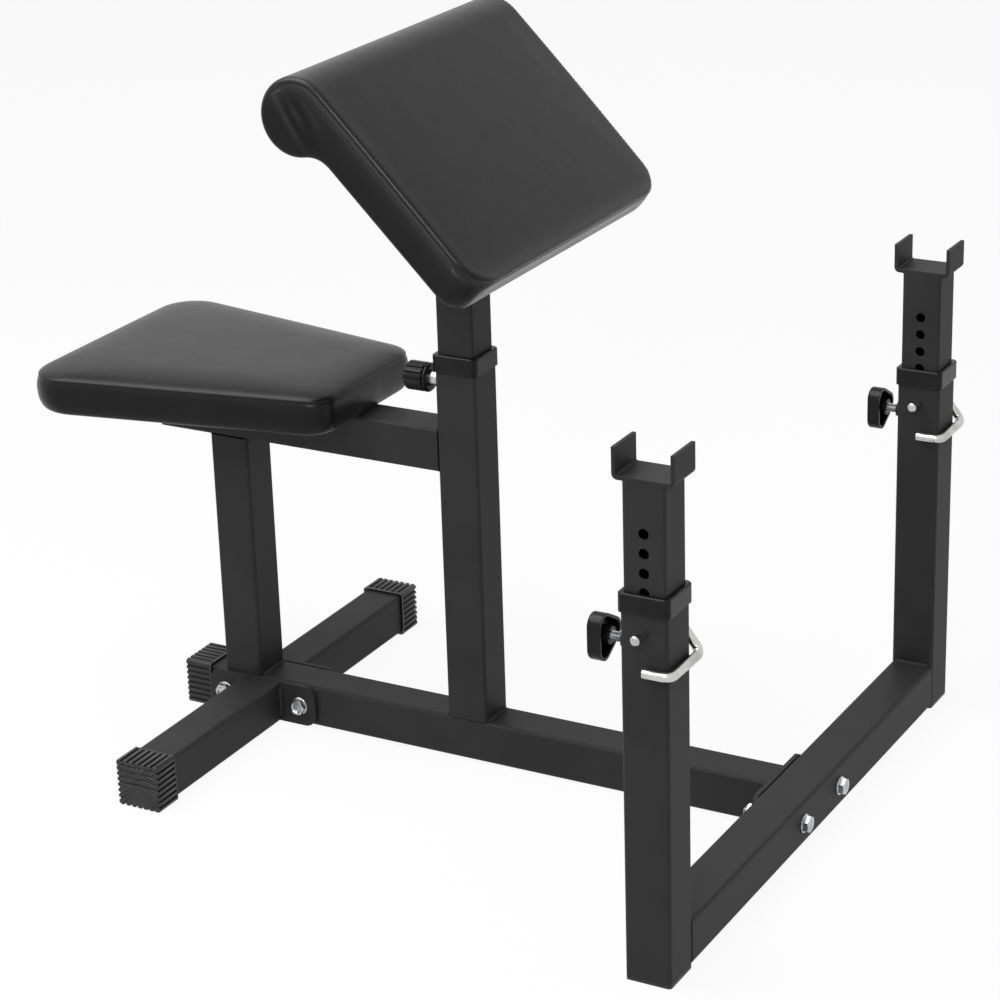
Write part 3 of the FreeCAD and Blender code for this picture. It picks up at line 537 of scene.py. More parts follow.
# Seat and pad fasteners: smaller hexagon bolts up through the seat beam into tee nuts in the seat's
# board, and four wood bolts that hold the arm pad's board on its slanted plate.
SMALL_RADIUS = 0.004
SMALL_FLATS = 0.013
SMALL_HEAD = 0.0053
SEAT_WASHER_RADIUS = 0.010
bolt_low, bolt_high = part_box("seat_bolts")
head_z = bolt_low.z + SMALL_HEAD
small_reach = SMALL_FLATS / 2 / math.cos(math.pi / 6)
heads = [(0, y, head_z) for y in (bolt_low.y + small_reach, bolt_high.y - small_reach)]
shells = [bolt_head(at, (0, 0, -1), BACK, SMALL_FLATS, SMALL_HEAD) for at in heads]
shells += [threaded(at, UP, BACK, bolt_high.z - head_z, SMALL_RADIUS) for at in heads]
hardware("seat_bolts", shells)
hardware("seat_washers", [washer(at, UP, BACK, SMALL_RADIUS, SEAT_WASHER_RADIUS) for at in heads])
dress(zinc, "seat_tee_nuts", "pad_screws", "plunger_sleeve", "plunger_pin", "plunger_spring")

# Clamping studs of the uprights: zinc plated threaded rod through a nut welded on the upright,
# turned by the three-lobed knob until it presses on the sliding post.
for side in ("left", "right"):
    stud_low, stud_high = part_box(side + "_lock_stud")
    foot = ((stud_low.x + stud_high.x) / 2, stud_high.y, (stud_low.z + stud_high.z) / 2)
    rod = threaded(foot, (0, -1, 0), UP, stud_high.y - stud_low.y, BOLT_RADIUS)
    hardware(side + "_lock_stud", [rod], side + "_knob")

# Locking pins: round steel bar bent to a crank handle and pushed through the upright into a hole of
# its sliding post. It has a nickel plate, brighter than the bolts.
nickel, place = new_finish("nickel_plate", {"Metallic": 1.0})
cloud = place.noise(45.0, 3.0)
drawn = place.noise(700.0, 2.0)
cloud.paint((0.42, 0.418, 0.41), (0.60, 0.597, 0.59))
(0.14 + 0.12 * cloud + 0.05 * drawn).into("Roughness")
drawn.bump(0.06, 0.0002).into("Normal")
dress(nickel, "left_locking_pin", "right_locking_pin")

# Boards under both pads: raw plywood with a plain grain, sawn to the pad's outline and bolted to the
# frame from below, with the covers stapled to their edges.
plywood, place = new_finish("raw_plywood", {"Specular IOR Level": 0.3})
stretched = place.node("ShaderNodeMapping", {}, {"Vector": place, "Scale": (14.0, 1.2, 14.0)})
grain = stretched.noise(9.0, 6.0, 1.2)
fibre = stretched.noise(60.0, 3.0)
(0.7 * grain + 0.3 * fibre).paint((0.30, 0.19, 0.095), (0.52, 0.37, 0.21))
(0.62 + 0.2 * fibre).into("Roughness")
fibre.bump(0.3, 0.0004).into("Normal")
dress(plywood, "seat_board", "arm_board")

# Seat pad: moulded foam on a board under a cover of black grained vinyl. A top panel is sewn to a side
# band, whose two ends meet in an upright seam at the front, and the band is drawn under the board. The
# cover is swelled by a cloth simulation, in which its seams and its hem are held.
SEAT_FRONT_WIDTH = 0.198
SEAT_REAR_WIDTH = 0.332
SEAT_EDGE = 0.0012
FRONT_CORNER, REAR_CORNER = 0.030, 0.040
CORNER_GROWTH = 0.25
SEAT_RUNS = (56, 76, 56, 76)
SEAM_DROP = 0.0118
SEAM_SINK = 0.0012
CROWN_RINGS, CROWN_CROWD = 17, 1.9
CROWN_LIP = 0.0002
CROWN_EDGE = 0.0008
CROWN_REACH = 0.058
CROWN_RISE = 0.0102
BAND = (
    (0.0010, 0.0011), (0.0030, -0.0003), (0.0075, -0.0009), (0.0120, -0.0012), (0.0165, -0.0012),
    (0.0210, -0.0010), (0.0255, -0.0006), (0.0300, 0.0002), (0.0340, 0.0014), (0.0370, 0.0029),
    (0.0389, 0.0052), (0.0395, 0.0080), (0.0395, 0.0092), (0.0273, 0.0092),
)
BAND_SEAM_X = 0.016
BAND_SEAM_HALF, BAND_SEAM_DEEP = 0.0018, 0.01
BAND_LOOSE = slice(2, 9)
SEAM_REACH = 0.006
FOAM_REACH = 0.014
FOAM_PRESSURE = 6.0
FOAM_SWELL = 0.0018
CLOTH_STEPS = 14
CHUNKS = 64
ARC_POINTS = 25
SEAT_PULL = 0.2
VINYL_SHINE = {
    "Specular IOR Level": 0.17, "Sheen Weight": 0.16, "Sheen Roughness": 0.35, "Coat Roughness": 0.22,
}
vinyl, place = new_finish("black_grained_vinyl", VINYL_SHINE)
tone = place.noise(16.0, 3.0)
grid = {"Vector": place, "Scale": 700.0}
cells = place.node("ShaderNodeTexVoronoi", {"feature": "DISTANCE_TO_EDGE"}, grid, "Distance")
pores = place.noise(2600.0, 2.0)
near_seam = place.node("ShaderNodeAttribute", {"attribute_name": "near_seam"}, {}, "Fac")
slack = place.noise(26.0, 2.0).bump(0.10, 0.004)
pucker = (near_seam * place.noise(150.0, 1.0)).bump(0.3, 0.002, slack)
leather = cells.step(0.0, 0.35) + 0.35 * pores
tone.paint((0.0035, 0.0035, 0.0037), (0.0055, 0.0055, 0.0058))
(0.29 + 0.10 * tone - 0.05 * cells.step(0.0, 0.3)).into("Roughness")
leather.bump(0.18, 0.00035, pucker).into("Normal")
(0.7 * near_seam).into("Coat Weight")


def rounded_sides(corners, radii, runs):
    """Outline of a four-sided shape with round corners, as one row of points per side, from the
    middle of one corner's arc to the middle of the next, evenly spaced."""
    arcs = []
    legs = np.roll(corners, -1, 0) - corners
    legs = legs / np.linalg.norm(legs, axis=1, keepdims=True)
    for at, come, go, radius in zip(corners, np.roll(legs, 1, 0), legs, radii):
        bend = math.acos(np.clip(come @ go, -1, 1))
        middle = at - come * radius * math.tan(bend / 2) + np.array((-come[1], come[0])) * radius
        turn = math.atan2(come[1], come[0]) - math.pi / 2 + np.linspace(0, bend, ARC_POINTS)
        arcs.append(middle + radius * np.stack([np.cos(turn), np.sin(turn)], -1))
    sides = []
    half = ARC_POINTS // 2
    for first, second, count in zip(arcs, arcs[1:] + arcs[:1], runs):
        line = np.concatenate([first[half:], second[: half + 1]])
        far = np.append(0, np.cumsum(np.linalg.norm(np.diff(line, axis=0), axis=1)))
        even = np.linspace(0, far[-1], count + 1)
        sides.append(np.stack([np.interp(even, far, line[:, 0]), np.interp(even, far, line[:, 1])], -1))
    return sides


def patch(sides):
    """Flat net inside four sides: the front and rear rows blended, plus the left and right rows
    blended, less the four corners blended both ways."""
    front, right, rear, left = sides
    rear, left = rear[::-1], left[::-1]
    u = np.linspace(0, 1, len(front))[None, :, None]
    v = np.linspace(0, 1, len(right))[:, None, None]
    rows = (1 - v) * front[None] + v * rear[None] + (1 - u) * left[:, None] + u * right[:, None]
    ends = (1 - v) * ((1 - u) * front[0] + u * front[-1]) + v * ((1 - u) * rear[0] + u * rear[-1])
    return rows - ends


def vertex_rows(mesh, what):
    """The places ("co") or directions ("normal") of a mesh's points, one row each."""
    values = np.empty(len(mesh.vertices) * 3)
    mesh.vertices.foreach_get(what, values)
    return values.reshape(-1, 3)


def puffed(piece, held):
    """Swells a closed cover by a cloth simulation in which held points stay. The foam evens out small
    folds, so each move is the mean of all moves weighted by exp(-gap^2 / (2 * reach^2)), and all are
    then scaled until the largest is FOAM_SWELL."""
    rest = vertex_rows(piece.data, "co")
    group = piece.vertex_groups.new(name="held")
    group.add(np.flatnonzero(held).tolist(), 1.0, "REPLACE")
    cloth = piece.modifiers.new("swelling", "CLOTH")
    cloth.settings.quality = 6
    cloth.settings.mass = 0.3
    cloth.settings.tension_stiffness = 40
    cloth.settings.compression_stiffness = 40
    cloth.settings.bending_stiffness = 6
    cloth.settings.use_pressure = True
    cloth.settings.uniform_pressure_force = FOAM_PRESSURE
    cloth.settings.vertex_group_mass = "held"
    cloth.settings.effector_weights.gravity = 0
    cloth.collision_settings.use_collision = False
    for step in range(1, CLOTH_STEPS + 1):
        scene.frame_set(step)
    swelled = piece.evaluated_get(bpy.context.evaluated_depsgraph_get()).data
    move = vertex_rows(swelled, "co") - rest
    piece.modifiers.remove(cloth)
    scene.frame_set(1)
    means = []
    for part in np.array_split(rest, CHUNKS):
        weight = np.exp(-((part[:, None] - rest) ** 2).sum(-1) / (2 * FOAM_REACH**2))
        means.append(weight @ move / weight.sum(1, keepdims=True))
    move = np.where(held[:, None], 0, np.concatenate(means))
    return rest + move * FOAM_SWELL / np.linalg.norm(move, axis=1).max()


def covered(piece, points, seam, pull, node):
    """Finishes a cover that stands for a CAD pad: its settled points, how much a seam draws on each of
    them, pull * exp(-distance / reach), and one live level of subdivision."""
    piece.data.vertices.foreach_set("co", points.ravel())
    piece.data.update()
    gaps = [np.sqrt(((part[:, None] - seam) ** 2).sum(-1)).min(1) for part in np.array_split(points, CHUNKS)]
    nearness = pull * np.exp(-np.concatenate(gaps) / SEAM_REACH)
    piece.data.attributes.new("near_seam", "FLOAT", "POINT").data.foreach_set("value", nearness)
    finer = piece.modifiers.new("finer", "SUBSURF")
    finer.levels = 1
    finer.render_levels = 1
    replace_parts(piece, node)


pad_low, pad_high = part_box("seat_pad")
front_y, rear_y = pad_low.y + SEAT_EDGE, pad_high.y - SEAT_EDGE


def seat_sides(inset):
    """The seat's outline drawn in by inset all round."""
    slope = (SEAT_REAR_WIDTH - SEAT_FRONT_WIDTH) / 2 / (rear_y - front_y)
    lean = inset * math.hypot(1, slope)
    front = SEAT_FRONT_WIDTH / 2 - lean + slope * inset
    rear = SEAT_REAR_WIDTH / 2 - lean - slope * inset
    near, far = front_y + inset, rear_y - inset
    corners = np.array(((-front, near), (front, near), (rear, far), (-rear, far)))
    radii = np.array((FRONT_CORNER, FRONT_CORNER, REAR_CORNER, REAR_CORNER)) + CORNER_GROWTH * inset
    return rounded_sides(corners, radii, SEAT_RUNS)


def seat_ring(inset, z):
    ring = np.concatenate([side[:-1] for side in seat_sides(inset)])
    return np.column_stack([ring, np.full(len(ring), z)])


def crown(share):
    """Rise of the seat's top by the share of the way in: (1 - (1 - share)^3)^0.5."""
    return (1 - (1 - share) ** 3) ** 0.5


seam_z = pad_high.z - SEAM_DROP
inward = np.linspace(0, 1, CROWN_RINGS) ** CROWN_CROWD
crown_rings = [seat_ring(SEAM_SINK, seam_z)]
crown_rings += [
    seat_ring(CROWN_LIP + CROWN_REACH * share, seam_z + CROWN_EDGE + CROWN_RISE * crown(share))
    for share in inward
]
crown_rings = np.stack(crown_rings)
band = np.stack([crown_rings[0]] + [seat_ring(inset, seam_z - drop) for drop, inset in BAND])
nets = []
for inset, z in ((CROWN_LIP + CROWN_REACH, crown_rings[-1, 0, 2]), (BAND[-1][1], band[-1, 0, 2])):
    net = patch(seat_sides(inset))
    nets.append(np.dstack([net, np.full(net.shape[:2], z)]))
rings = crown_rings.shape[1]
points, faces, went = joined([
    (crown_rings.reshape(-1, 3), quads(len(crown_rings), rings)),
    (band.reshape(-1, 3), quads(len(band), rings)),
    *((net.reshape(-1, 3), quads(*net.shape[:2], False)) for net in nets),
])
seat_cover = new_piece("seat_pad_cover", points, faces, vinyl, "frame")
held_crown = np.zeros(crown_rings.shape[:2], bool)
held_crown[0] = True
held_band = np.ones(band.shape[:2], bool)
at_front_seam = np.abs(band[..., 0] - BAND_SEAM_X) < BAND_SEAM_HALF
at_front_seam &= band[..., 1] < front_y + BAND_SEAM_DEEP
held_band[BAND_LOOSE] = at_front_seam[BAND_LOOSE]
held_nets = [np.full(nets[0][..., 0].size, False), np.full(nets[1][..., 0].size, True)]
held = np.zeros(len(points), bool)
held[went[np.concatenate([held_crown.ravel(), held_band.ravel(), *held_nets])]] = True
settled = puffed(seat_cover, held)
seam_line = settled[went[:rings]]
band_at = went[crown_rings[..., 0].size :][: band[..., 0].size].reshape(band.shape[:2])
front_seam = settled[band_at[at_front_seam]]
covered(seat_cover, settled, np.concatenate([seam_line, front_seam]), SEAT_PULL, "seat_pad")

# Seat stitching and hem: bonded black thread shows in the seam, and under the seat the cover's edge is
# turned over the board and stapled, left open where the seat's beam passes.
STITCH = 0.0034
STITCH_GAP = 0.0012
THREAD_RADIUS = 0.00038
STITCH_SIDES = 6
HEM_THICK = 0.0007
HEM_FROM, HEM_TO = 0.0072, 0.029
HEM_WAVE = 0.0035
STAPLE_AT = 0.019
STAPLE, STAPLE_GAP = 0.010, 0.017
STAPLE_RADIUS = 0.00055
BEAM_CLEAR = 0.0275
thread, place = new_finish("black_bonded_thread", {"Specular IOR Level": 0.5})
twist = place.noise(1500.0, 2.0)
twist.paint((0.010, 0.010, 0.0104), (0.030, 0.030, 0.031))
(0.35 + 0.2 * twist).into("Roughness")
twist.bump(0.4, 0.0003).into("Normal")


def stitches(path, out, length, gap, radius):
    """Bars along a path, one per length + gap. At u = -1..1 along a bar its radius is
    radius * (1 - u^2 / 2) and it dips by radius * u^2 below its middle."""
    far = np.append(0, np.cumsum(np.linalg.norm(np.diff(path, axis=0), axis=1)))
    count = int(far[-1] / (length + gap))
    middle = (np.arange(count) + 0.5) * far[-1] / count

    def along_path(where, rows):
        return np.stack([np.interp(where, far, rows[:, axis]) for axis in range(3)], -1)

    centre = along_path(middle, path)
    ahead = along_path(middle + length / 2, path) - along_path(middle - length / 2, path)
    ahead /= np.linalg.norm(ahead, axis=1, keepdims=True)
    up = along_path(middle, out)
    up -= ahead * (up * ahead).sum(1, keepdims=True)
    up /= np.linalg.norm(up, axis=1, keepdims=True)
    across = np.cross(ahead, up)
    u = np.linspace(-1, 1, 5)[:, None]
    turn = np.arange(STITCH_SIDES) / STITCH_SIDES * 2 * math.pi
    width = radius * (1 - u**2 / 2)
    shape = np.stack(np.broadcast_arrays(
        u * length / 2, width * np.cos(turn), width * np.sin(turn) - radius * u**2), -1)
    axes = np.stack([ahead, across, up], 1)
    bars = centre[:, None, None] + np.einsum("ijk,mkl->mijl", shape, axes)
    return [shell(bar) for bar in bars]


def hem(name, outer, inner, path, open_at, down, body):
    """Turned edge of a cover between two closed lines, HEM_THICK deep along down, with staples along a
    path. It is left open at some of its points, which lie together."""
    gap = np.flatnonzero(open_at)
    kept = np.arange(gap[-1] + 1, gap[0] + len(outer)) % len(outer)
    outer, inner, path = outer[kept], inner[kept], path[kept]
    deep = np.array(down, float) * HEM_THICK
    edge = shell(np.stack([outer, outer + deep, inner + deep, inner], 1))
    laid(name + "_hem", [edge], vinyl, body)
    ways = np.tile(np.array(down, float), (len(path), 1))
    fixed = stitches(path + deep, ways, STAPLE, STAPLE_GAP, STAPLE_RADIUS)
    laid(name + "_staples", fixed, zinc, body)


def wavy(first, second):
    """Line that wanders between two lines: share 1/2 + (sin(0.31 i) + sin(0.83 i)) / 4."""
    step = np.arange(len(first))[:, None]
    share = 0.5 + (np.sin(0.31 * step) + np.sin(0.83 * step)) / 4
    return first + (second - first) * share


picked = np.append(went[:rings], went[0])
normals = vertex_rows(seat_cover.data, "normal")
sewn = stitches(settled[picked], normals[picked], STITCH, STITCH_GAP, THREAD_RADIUS)
laid("seat_pad_thread", sewn, thread, "frame")
outer = seat_ring(HEM_FROM, pad_low.z)
inner = wavy(seat_ring(HEM_TO, pad_low.z), seat_ring(HEM_TO + HEM_WAVE, pad_low.z))
at_beam = (np.abs(outer[:, 0]) < BEAM_CLEAR) & (outer[:, 1] < 2 * front_y)
hem("seat", outer, inner, seat_ring(STAPLE_AT, pad_low.z), at_beam, (0, 0, -1), "frame")

# Arm pad: a slanted slab of foam with a thick roll along its top edge, under a vinyl cover on a board.
# A face panel runs over the roll and is sewn to one band that goes down a side, round the lower corners
# and up the other side. It is swelled as the seat is, and its cover lies in soft folds at the roll's ends.
PAD_FACE = np.array((0, (column_low.y + column_high.y) / 2, 0.768))
PAD_HALF = 0.210
FACE_END = 0.006
FACE_SAG = 0.0008
END_AT = 0.194
UNDER_AT = -0.042
PAD_CORNER, FACE_CORNER = 0.022, 0.038
LOW_TURN = 0.012
LOW_EDGE = 0.005
ROLL_AT = np.array((-0.0635, -0.033))
ROLL_RADIUS = 0.042
NECK = 0.032
BOARD_HALF = 0.1942
BOARD_FROM, BOARD_TO = -0.0002, 0.1702
BOARD_TOP = -0.0298
SEAM_DEEP, SEAM_SHALLOW = 0.0102, 0.0050
PAD_SINK, END_SINK = 0.0026, 0.0048
SEAM_INSET = 0.0098
EDGE_ROUND = 0.0060
EDGE_GAPS = np.array((0, 0.0003, 0.0009, 0.0018, 0.0030, 0.0045, 0.0065, 0.0098, 0.0138))
PAD_STEP = 0.0052
ROLL_RUN, FACE_RUN, TURN_RUN, SIDE_NET = 14, 58, 6, 12
BOARD_RUN, NECK_RUN, UNDER_RUN = 33, 6, 22
SEAM_RAMP = 8
WALL_REACH = 14
PAD_PULL = 0.9
FOLDS = (
    ((-0.096, -0.027), (-0.029, -0.043), 0.0040, 0.0060),
    ((-0.092, -0.014), (-0.033, -0.028), -0.0028, 0.0070),
    ((-0.070, -0.002), (-0.030, -0.012), 0.0016, 0.0060),
)
FOLD_FADE = 0.08


def spin(centre, radius, start, stop, count):
    """Points on an arc, without its last one."""
    turn = np.linspace(start, stop, count, endpoint=False)
    return np.array(centre) + radius * np.stack([np.cos(turn), np.sin(turn)], -1)


def run_to(start, stop, count):
    """Points on a straight line, without its last one."""
    return np.linspace(start, stop, count, endpoint=False)


band_groove = np.zeros(SIDE_NET + 1)
band_groove[:2] = PAD_SINK, PAD_SINK / 3
upper_count = ROLL_RUN + FACE_RUN + TURN_RUN


def quarter(gap, reach):
    """Quarter round by the gap from an edge: 1 - sqrt(1 - (1 - gap / reach)^2), 0 past the reach."""
    return 1 - math.sqrt(1 - max(1 - gap / reach, 0) ** 2)


def arm_section(gap, inset, pocket):
    """Section of the arm pad at a gap from its side, as (inward, down the slope, off the slope): over
    the roll, down the face, round the end, back along the underside with the board's pocket, round
    the neck and under the roll. The end is drawn up near the sides, for round corners."""
    roll = ROLL_RADIUS - inset
    end = END_AT - PAD_CORNER * quarter(gap, PAD_CORNER)
    face_to = END_AT - FACE_CORNER * quarter(gap, FACE_CORNER)
    low = UNDER_AT + LOW_EDGE * quarter(gap, LOW_EDGE)
    aside = max(1 - gap / FACE_CORNER, 0)
    face_end = FACE_END - inset
    turn = SEAM_SHALLOW + (SEAM_DEEP - SEAM_SHALLOW) * aside**2 - inset
    face = run_to(ROLL_AT + (0, roll), (face_to - turn, face_end), FACE_RUN)
    share = np.linspace(0, 1, FACE_RUN, endpoint=False)
    face[:, 1] += 4 * FACE_SAG * share * (1 - share)
    reach = math.sqrt((roll + NECK) ** 2 - (ROLL_AT[1] - low + NECK) ** 2)
    neck = np.array((ROLL_AT[0] + reach, low - NECK))
    touch = math.atan2(ROLL_AT[1] - neck[1], ROLL_AT[0] - neck[0])
    deep = BOARD_TOP if pocket else low
    board_to = min(BOARD_TO, end - LOW_TURN - LOW_EDGE / 2)
    line = np.concatenate([
        spin(ROLL_AT, roll, math.pi, math.pi / 2, ROLL_RUN),
        face,
        spin((face_to - turn, face_end - turn), turn, math.pi / 2, 0, TURN_RUN),
        run_to((face_to, face_end - turn), (end, low + LOW_TURN), SIDE_NET),
        spin((end - LOW_TURN, low + LOW_TURN), LOW_TURN, 0, -math.pi / 2, TURN_RUN),
        run_to((end - LOW_TURN, low), (board_to, low), 3),
        run_to((board_to, low), (board_to, deep), 2),
        run_to((board_to, deep), (BOARD_FROM, deep), BOARD_RUN),
        run_to((BOARD_FROM, deep), (BOARD_FROM, low), 2),
        run_to((BOARD_FROM, low), (neck[0], low), 4),
        spin(neck, NECK, math.pi / 2, touch, NECK_RUN),
        spin(ROLL_AT, roll, touch - math.pi, -math.pi, UNDER_RUN),
    ])
    section = np.column_stack([np.zeros(len(line)), line])
    wall = slice(upper_count, upper_count + SIDE_NET)
    section[wall, 0] = band_groove[:-1] * aside
    section[wall, 1] -= band_groove[:-1] * END_SINK / PAD_SINK * math.sqrt(1 - aside**2)
    share = np.arange(SIDE_NET) / SIDE_NET
    section[wall, 1] += (end - face_to) * (1 - (1 - share) ** 3 - share)
    return section


def on_slope(x, down, off):
    """Place in the frame of x, down the slope and off the slope."""
    return PAD_FACE + np.stack([x, down, off], -1) @ np.stack([(1, 0, 0), DOWN_SLOPE, OFF_SLOPE])


inner_gaps = np.linspace(EDGE_GAPS[-1], PAD_HALF, round((PAD_HALF - EDGE_GAPS[-1]) / PAD_STEP) + 1)[1:]
inner_gaps = inner_gaps[np.abs(PAD_HALF - inner_gaps - BOARD_HALF) > 0.001]
board_gap = PAD_HALF - BOARD_HALF
stations = [(0.0, SEAM_INSET, False)]
stations += [(gap, EDGE_ROUND * quarter(gap, EDGE_ROUND), False) for gap in EDGE_GAPS]
stations += [(gap, 0.0, False) for gap in inner_gaps if gap < board_gap]
stations += [(board_gap, 0.0, False), (board_gap, 0.0, True)]
stations += [(gap, 0.0, True) for gap in inner_gaps if gap > board_gap]
left_half = np.stack([arm_section(*station) for station in stations])
seam_in = PAD_SINK * np.clip(np.arange(upper_count) / SEAM_RAMP, 0, 1)
left_half[0, :upper_count, 0] = seam_in
left_half[..., 0] -= PAD_HALF - np.array([gap for gap, inset, pocket in stations])[:, None]
local = np.concatenate([left_half, left_half[-2::-1] * (-1, 1, 1)])
around = local.shape[1]
grids = [local]
share = np.linspace(0, 1, SIDE_NET + 1)[None, :, None]
for sign, ring in ((-1, local[0]), (1, local[-1])):
    upper = ring[: upper_count + 1]
    lower = np.roll(ring[::-1], 1, 0)[: upper_count + 1]
    net = upper[:, None] * (1 - share) + lower[:, None] * share
    wall = ring[upper_count : upper_count + SIDE_NET + 1]
    nearing = np.clip(1 - np.arange(upper_count, -1, -1) / WALL_REACH, 0, 1)[:, None, None] ** 2
    net += nearing * (wall - net[-1])
    sunk = np.append(seam_in, PAD_SINK)[:, None] / PAD_SINK * band_groove
    net[..., 0] = sign * (PAD_HALF - sunk)
    grids.append(net)
shells = []
side_faces = quads(upper_count + 1, SIDE_NET + 1, False)
for grid, grid_faces in zip(grids, (quads(len(local), around), side_faces, side_faces)):
    shells.append((on_slope(*np.moveaxis(grid, -1, 0)).reshape(-1, 3), grid_faces))
points, faces, went = joined(shells)
arm_cover = new_piece("arm_pad_cover", points, faces, vinyl, "arm_rest")
wrap_at = went[: local[..., 0].size].reshape(local.shape[:2])
side_at = went[local[..., 0].size :].reshape(2, upper_count + 1, SIDE_NET + 1)
held_wrap = np.zeros(local.shape[:2], bool)
held_wrap[[0, -1], SEAM_RAMP // 2 : upper_count] = True
held_wrap[:, upper_count] = True
held_wrap[:, upper_count + SIDE_NET + TURN_RUN : -NECK_RUN - UNDER_RUN] = True
held = np.zeros(len(points), bool)
held[wrap_at[held_wrap]] = True
settled = puffed(arm_cover, held)
on_side = np.unique(side_at)
down, off = (settled[on_side] - PAD_FACE) @ DOWN_SLOPE, (settled[on_side] - PAD_FACE) @ OFF_SLOPE
flat = np.stack([down, off], -1)
loose = ~held[on_side]
for start, stop, height, width in FOLDS:
    start, run = np.array(start), np.subtract(stop, start)
    share = ((flat - start) @ run / (run @ run)).clip(0, 1)
    gap = np.linalg.norm(flat - start - share[:, None] * run, axis=1)
    fade = np.sin(math.pi * (FOLD_FADE + (1 - 2 * FOLD_FADE) * share))
    lift = height * np.exp(-((gap / width) ** 2)) * fade
    settled[on_side, 0] += np.sign(settled[on_side, 0]) * lift * loose
seam = np.concatenate([wrap_at[0, :upper_count], wrap_at[:, upper_count], wrap_at[-1, :upper_count]])
covered(arm_cover, settled, settled[seam], PAD_PULL, "arm_pad")

# Arm pad stitching and hem: two rows of thread follow the seam, one on the face panel and one on the
# band, and under the pad the cover's edge is turned over the board and stapled beside the steel plate.
FACE_ROW, BAND_ROW = 6, 1
HEM_HALF = 0.203
HEM_TOP, HEM_END = -0.001, 0.180
HEM_WIDE = 0.022
HEM_CORNER = 0.030
HEM_RUNS = (60, 30, 60, 30)
PLATE_CLEAR = 0.053
last = len(local) - 1
face_stop = ROLL_RUN + FACE_RUN
rows = [
    np.concatenate([
        wrap_at[FACE_ROW, SEAM_RAMP // 2 : face_stop],
        wrap_at[FACE_ROW + 1 : last - FACE_ROW, face_stop + 1],
        wrap_at[last - FACE_ROW, SEAM_RAMP // 2 : face_stop][::-1],
    ]),
    np.concatenate([
        side_at[0, SEAM_RAMP : upper_count, BAND_ROW],
        wrap_at[1:-1, upper_count + BAND_ROW],
        side_at[1, SEAM_RAMP : upper_count, BAND_ROW][::-1],
    ]),
]
normals = vertex_rows(arm_cover.data, "normal")
sewn = []
for picked in rows:
    sewn += stitches(settled[picked], normals[picked], STITCH, STITCH_GAP, THREAD_RADIUS)
laid("arm_pad_thread", sewn, thread, "arm_rest")


def hem_ring(inset):
    """Outline of the arm pad's underside drawn in by inset, in the frame."""
    wide, top, end = HEM_HALF - inset, HEM_TOP + inset, HEM_END - inset
    corners = np.array(((-wide, top), (wide, top), (wide, end), (-wide, end)))
    sides = rounded_sides(corners, [HEM_CORNER - inset / 2] * 4, HEM_RUNS)
    ring = np.concatenate([side[:-1] for side in sides])
    return on_slope(ring[:, 0], ring[:, 1], np.full(len(ring), UNDER_AT))


outer = hem_ring(0)
inner = wavy(hem_ring(HEM_WIDE), hem_ring(HEM_WIDE + HEM_WAVE))
at_plate = (outer - PAD_FACE) @ DOWN_SLOPE < HEM_TOP + HEM_WIDE
at_plate &= np.abs(outer[:, 0]) < PLATE_CLEAR
hem("arm", outer, inner, hem_ring(HEM_WIDE / 2), at_plate, -OFF_SLOPE, "arm_rest")

# Floor, soft studio light and the camera: a white floor that keeps the bench's shadow, a wide lamp
# overhead behind the column, a weak one beside the camera, and the photograph's camera.
FLOOR_HALF = 9.0
FLOOR_GLOW = 0.92
WORLD_LIGHT = 0.2
CAMERA_FROM_COLUMN = Vector((-2.65988, -1.53166, 1.51727))
CAMERA_YAW = 0.5117
CAMERA_PITCH = -0.3744
CAMERA_ROLL = -0.0318
FOCAL_SHARE = 2.9651
SENSOR = 36.0


def seen(tree):
    """1 for rays that show the background as it is seen, directly, in gloss or through glass."""
    path = Tone(tree)
    camera, gloss, glass = (
        path.node("ShaderNodeLightPath", {}, {}, "Is " + ray + " Ray")
        for ray in ("Camera", "Glossy", "Transmission")
    )
    return path.math("MAXIMUM", path.math("MAXIMUM", camera, gloss), glass)


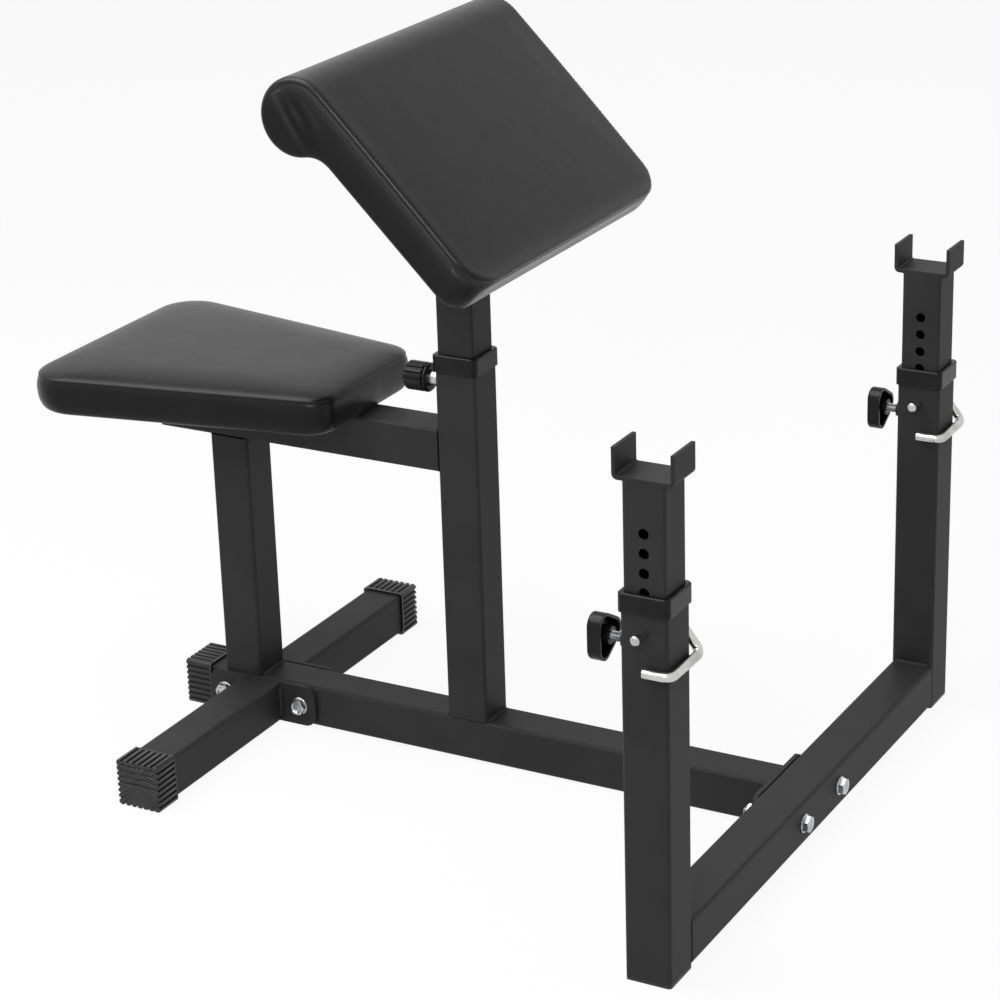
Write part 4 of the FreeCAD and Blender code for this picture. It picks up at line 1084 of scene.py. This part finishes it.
floor_mesh = bpy.data.meshes.new("floor")
corners = FLOOR_HALF * np.array(((-1, -1, 0), (1, -1, 0), (1, 1, 0), (-1, 1, 0)))
floor_mesh.from_pydata(corners.tolist(), [], [(0, 1, 2, 3)])
floor = bpy.data.objects.new("floor", floor_mesh)
scene.collection.objects.link(floor)
MATT_WHITE = {"Base Color": (0.9, 0.9, 0.9, 1), "Roughness": 0.9, "Specular IOR Level": 0.1}
white, place = new_finish("white_floor", MATT_WHITE)
tree = white.node_tree
glow = place.node("ShaderNodeEmission", {}, {"Color": (1, 1, 1, 1), "Strength": 1.0})
shader = Tone(tree, tree.nodes["Principled BSDF"].outputs[0])
mixed = place.node("ShaderNodeMixShader", {}, {0: seen(tree) * FLOOR_GLOW, 1: shader, 2: glow})
tree.links.new(mixed.socket, tree.nodes["Material Output"].inputs[0])
floor_mesh.materials.append(white)

world = bpy.data.worlds.new("studio")
scene.world = world
world.use_nodes = True
tree = world.node_tree
backdrop = tree.nodes["Background"]
backdrop.inputs[0].default_value = (1, 1, 1, 1)
strength = WORLD_LIGHT + (1 - WORLD_LIGHT) * seen(tree)
tree.links.new(strength.socket, backdrop.inputs[1])


def soft_lamp(name, place, target, size, watts):
    """Square lamp that faces a target."""
    data = bpy.data.lights.new(name, "AREA")
    data.size = size
    data.energy = watts
    lamp = bpy.data.objects.new(name, data)
    facing = (Vector(target) - Vector(place)).to_track_quat("-Z", "Y")
    lamp.matrix_world = Matrix.LocRotScale(place, facing, None)
    scene.collection.objects.link(lamp)


soft_lamp("overhead", (-0.7, 0.8, 2.6), (0, 0, 0.4), 2.2, 75)
soft_lamp("beside_camera", (-2.6, -1.0, 2.4), (0, 0, 0.5), 0.6, 26)

heading = Matrix.Rotation(CAMERA_YAW - math.pi / 2, 4, "Z")
tilted = heading @ Matrix.Rotation(CAMERA_PITCH + math.pi / 2, 4, "X")
facing = tilted @ Matrix.Rotation(CAMERA_ROLL, 4, "Z")
lens = bpy.data.cameras.new("photo_camera")
lens.sensor_width = SENSOR
lens.lens = FOCAL_SHARE * SENSOR
camera = bpy.data.objects.new("photo_camera", lens)
column_foot = Vector((0, (column_low.y + column_high.y) / 2, 0))
camera.matrix_world = Matrix.Translation(column_foot + CAMERA_FROM_COLUMN) @ facing
scene.collection.objects.link(camera)
scene.camera = camera
scene.view_settings.view_transform = "Standard"
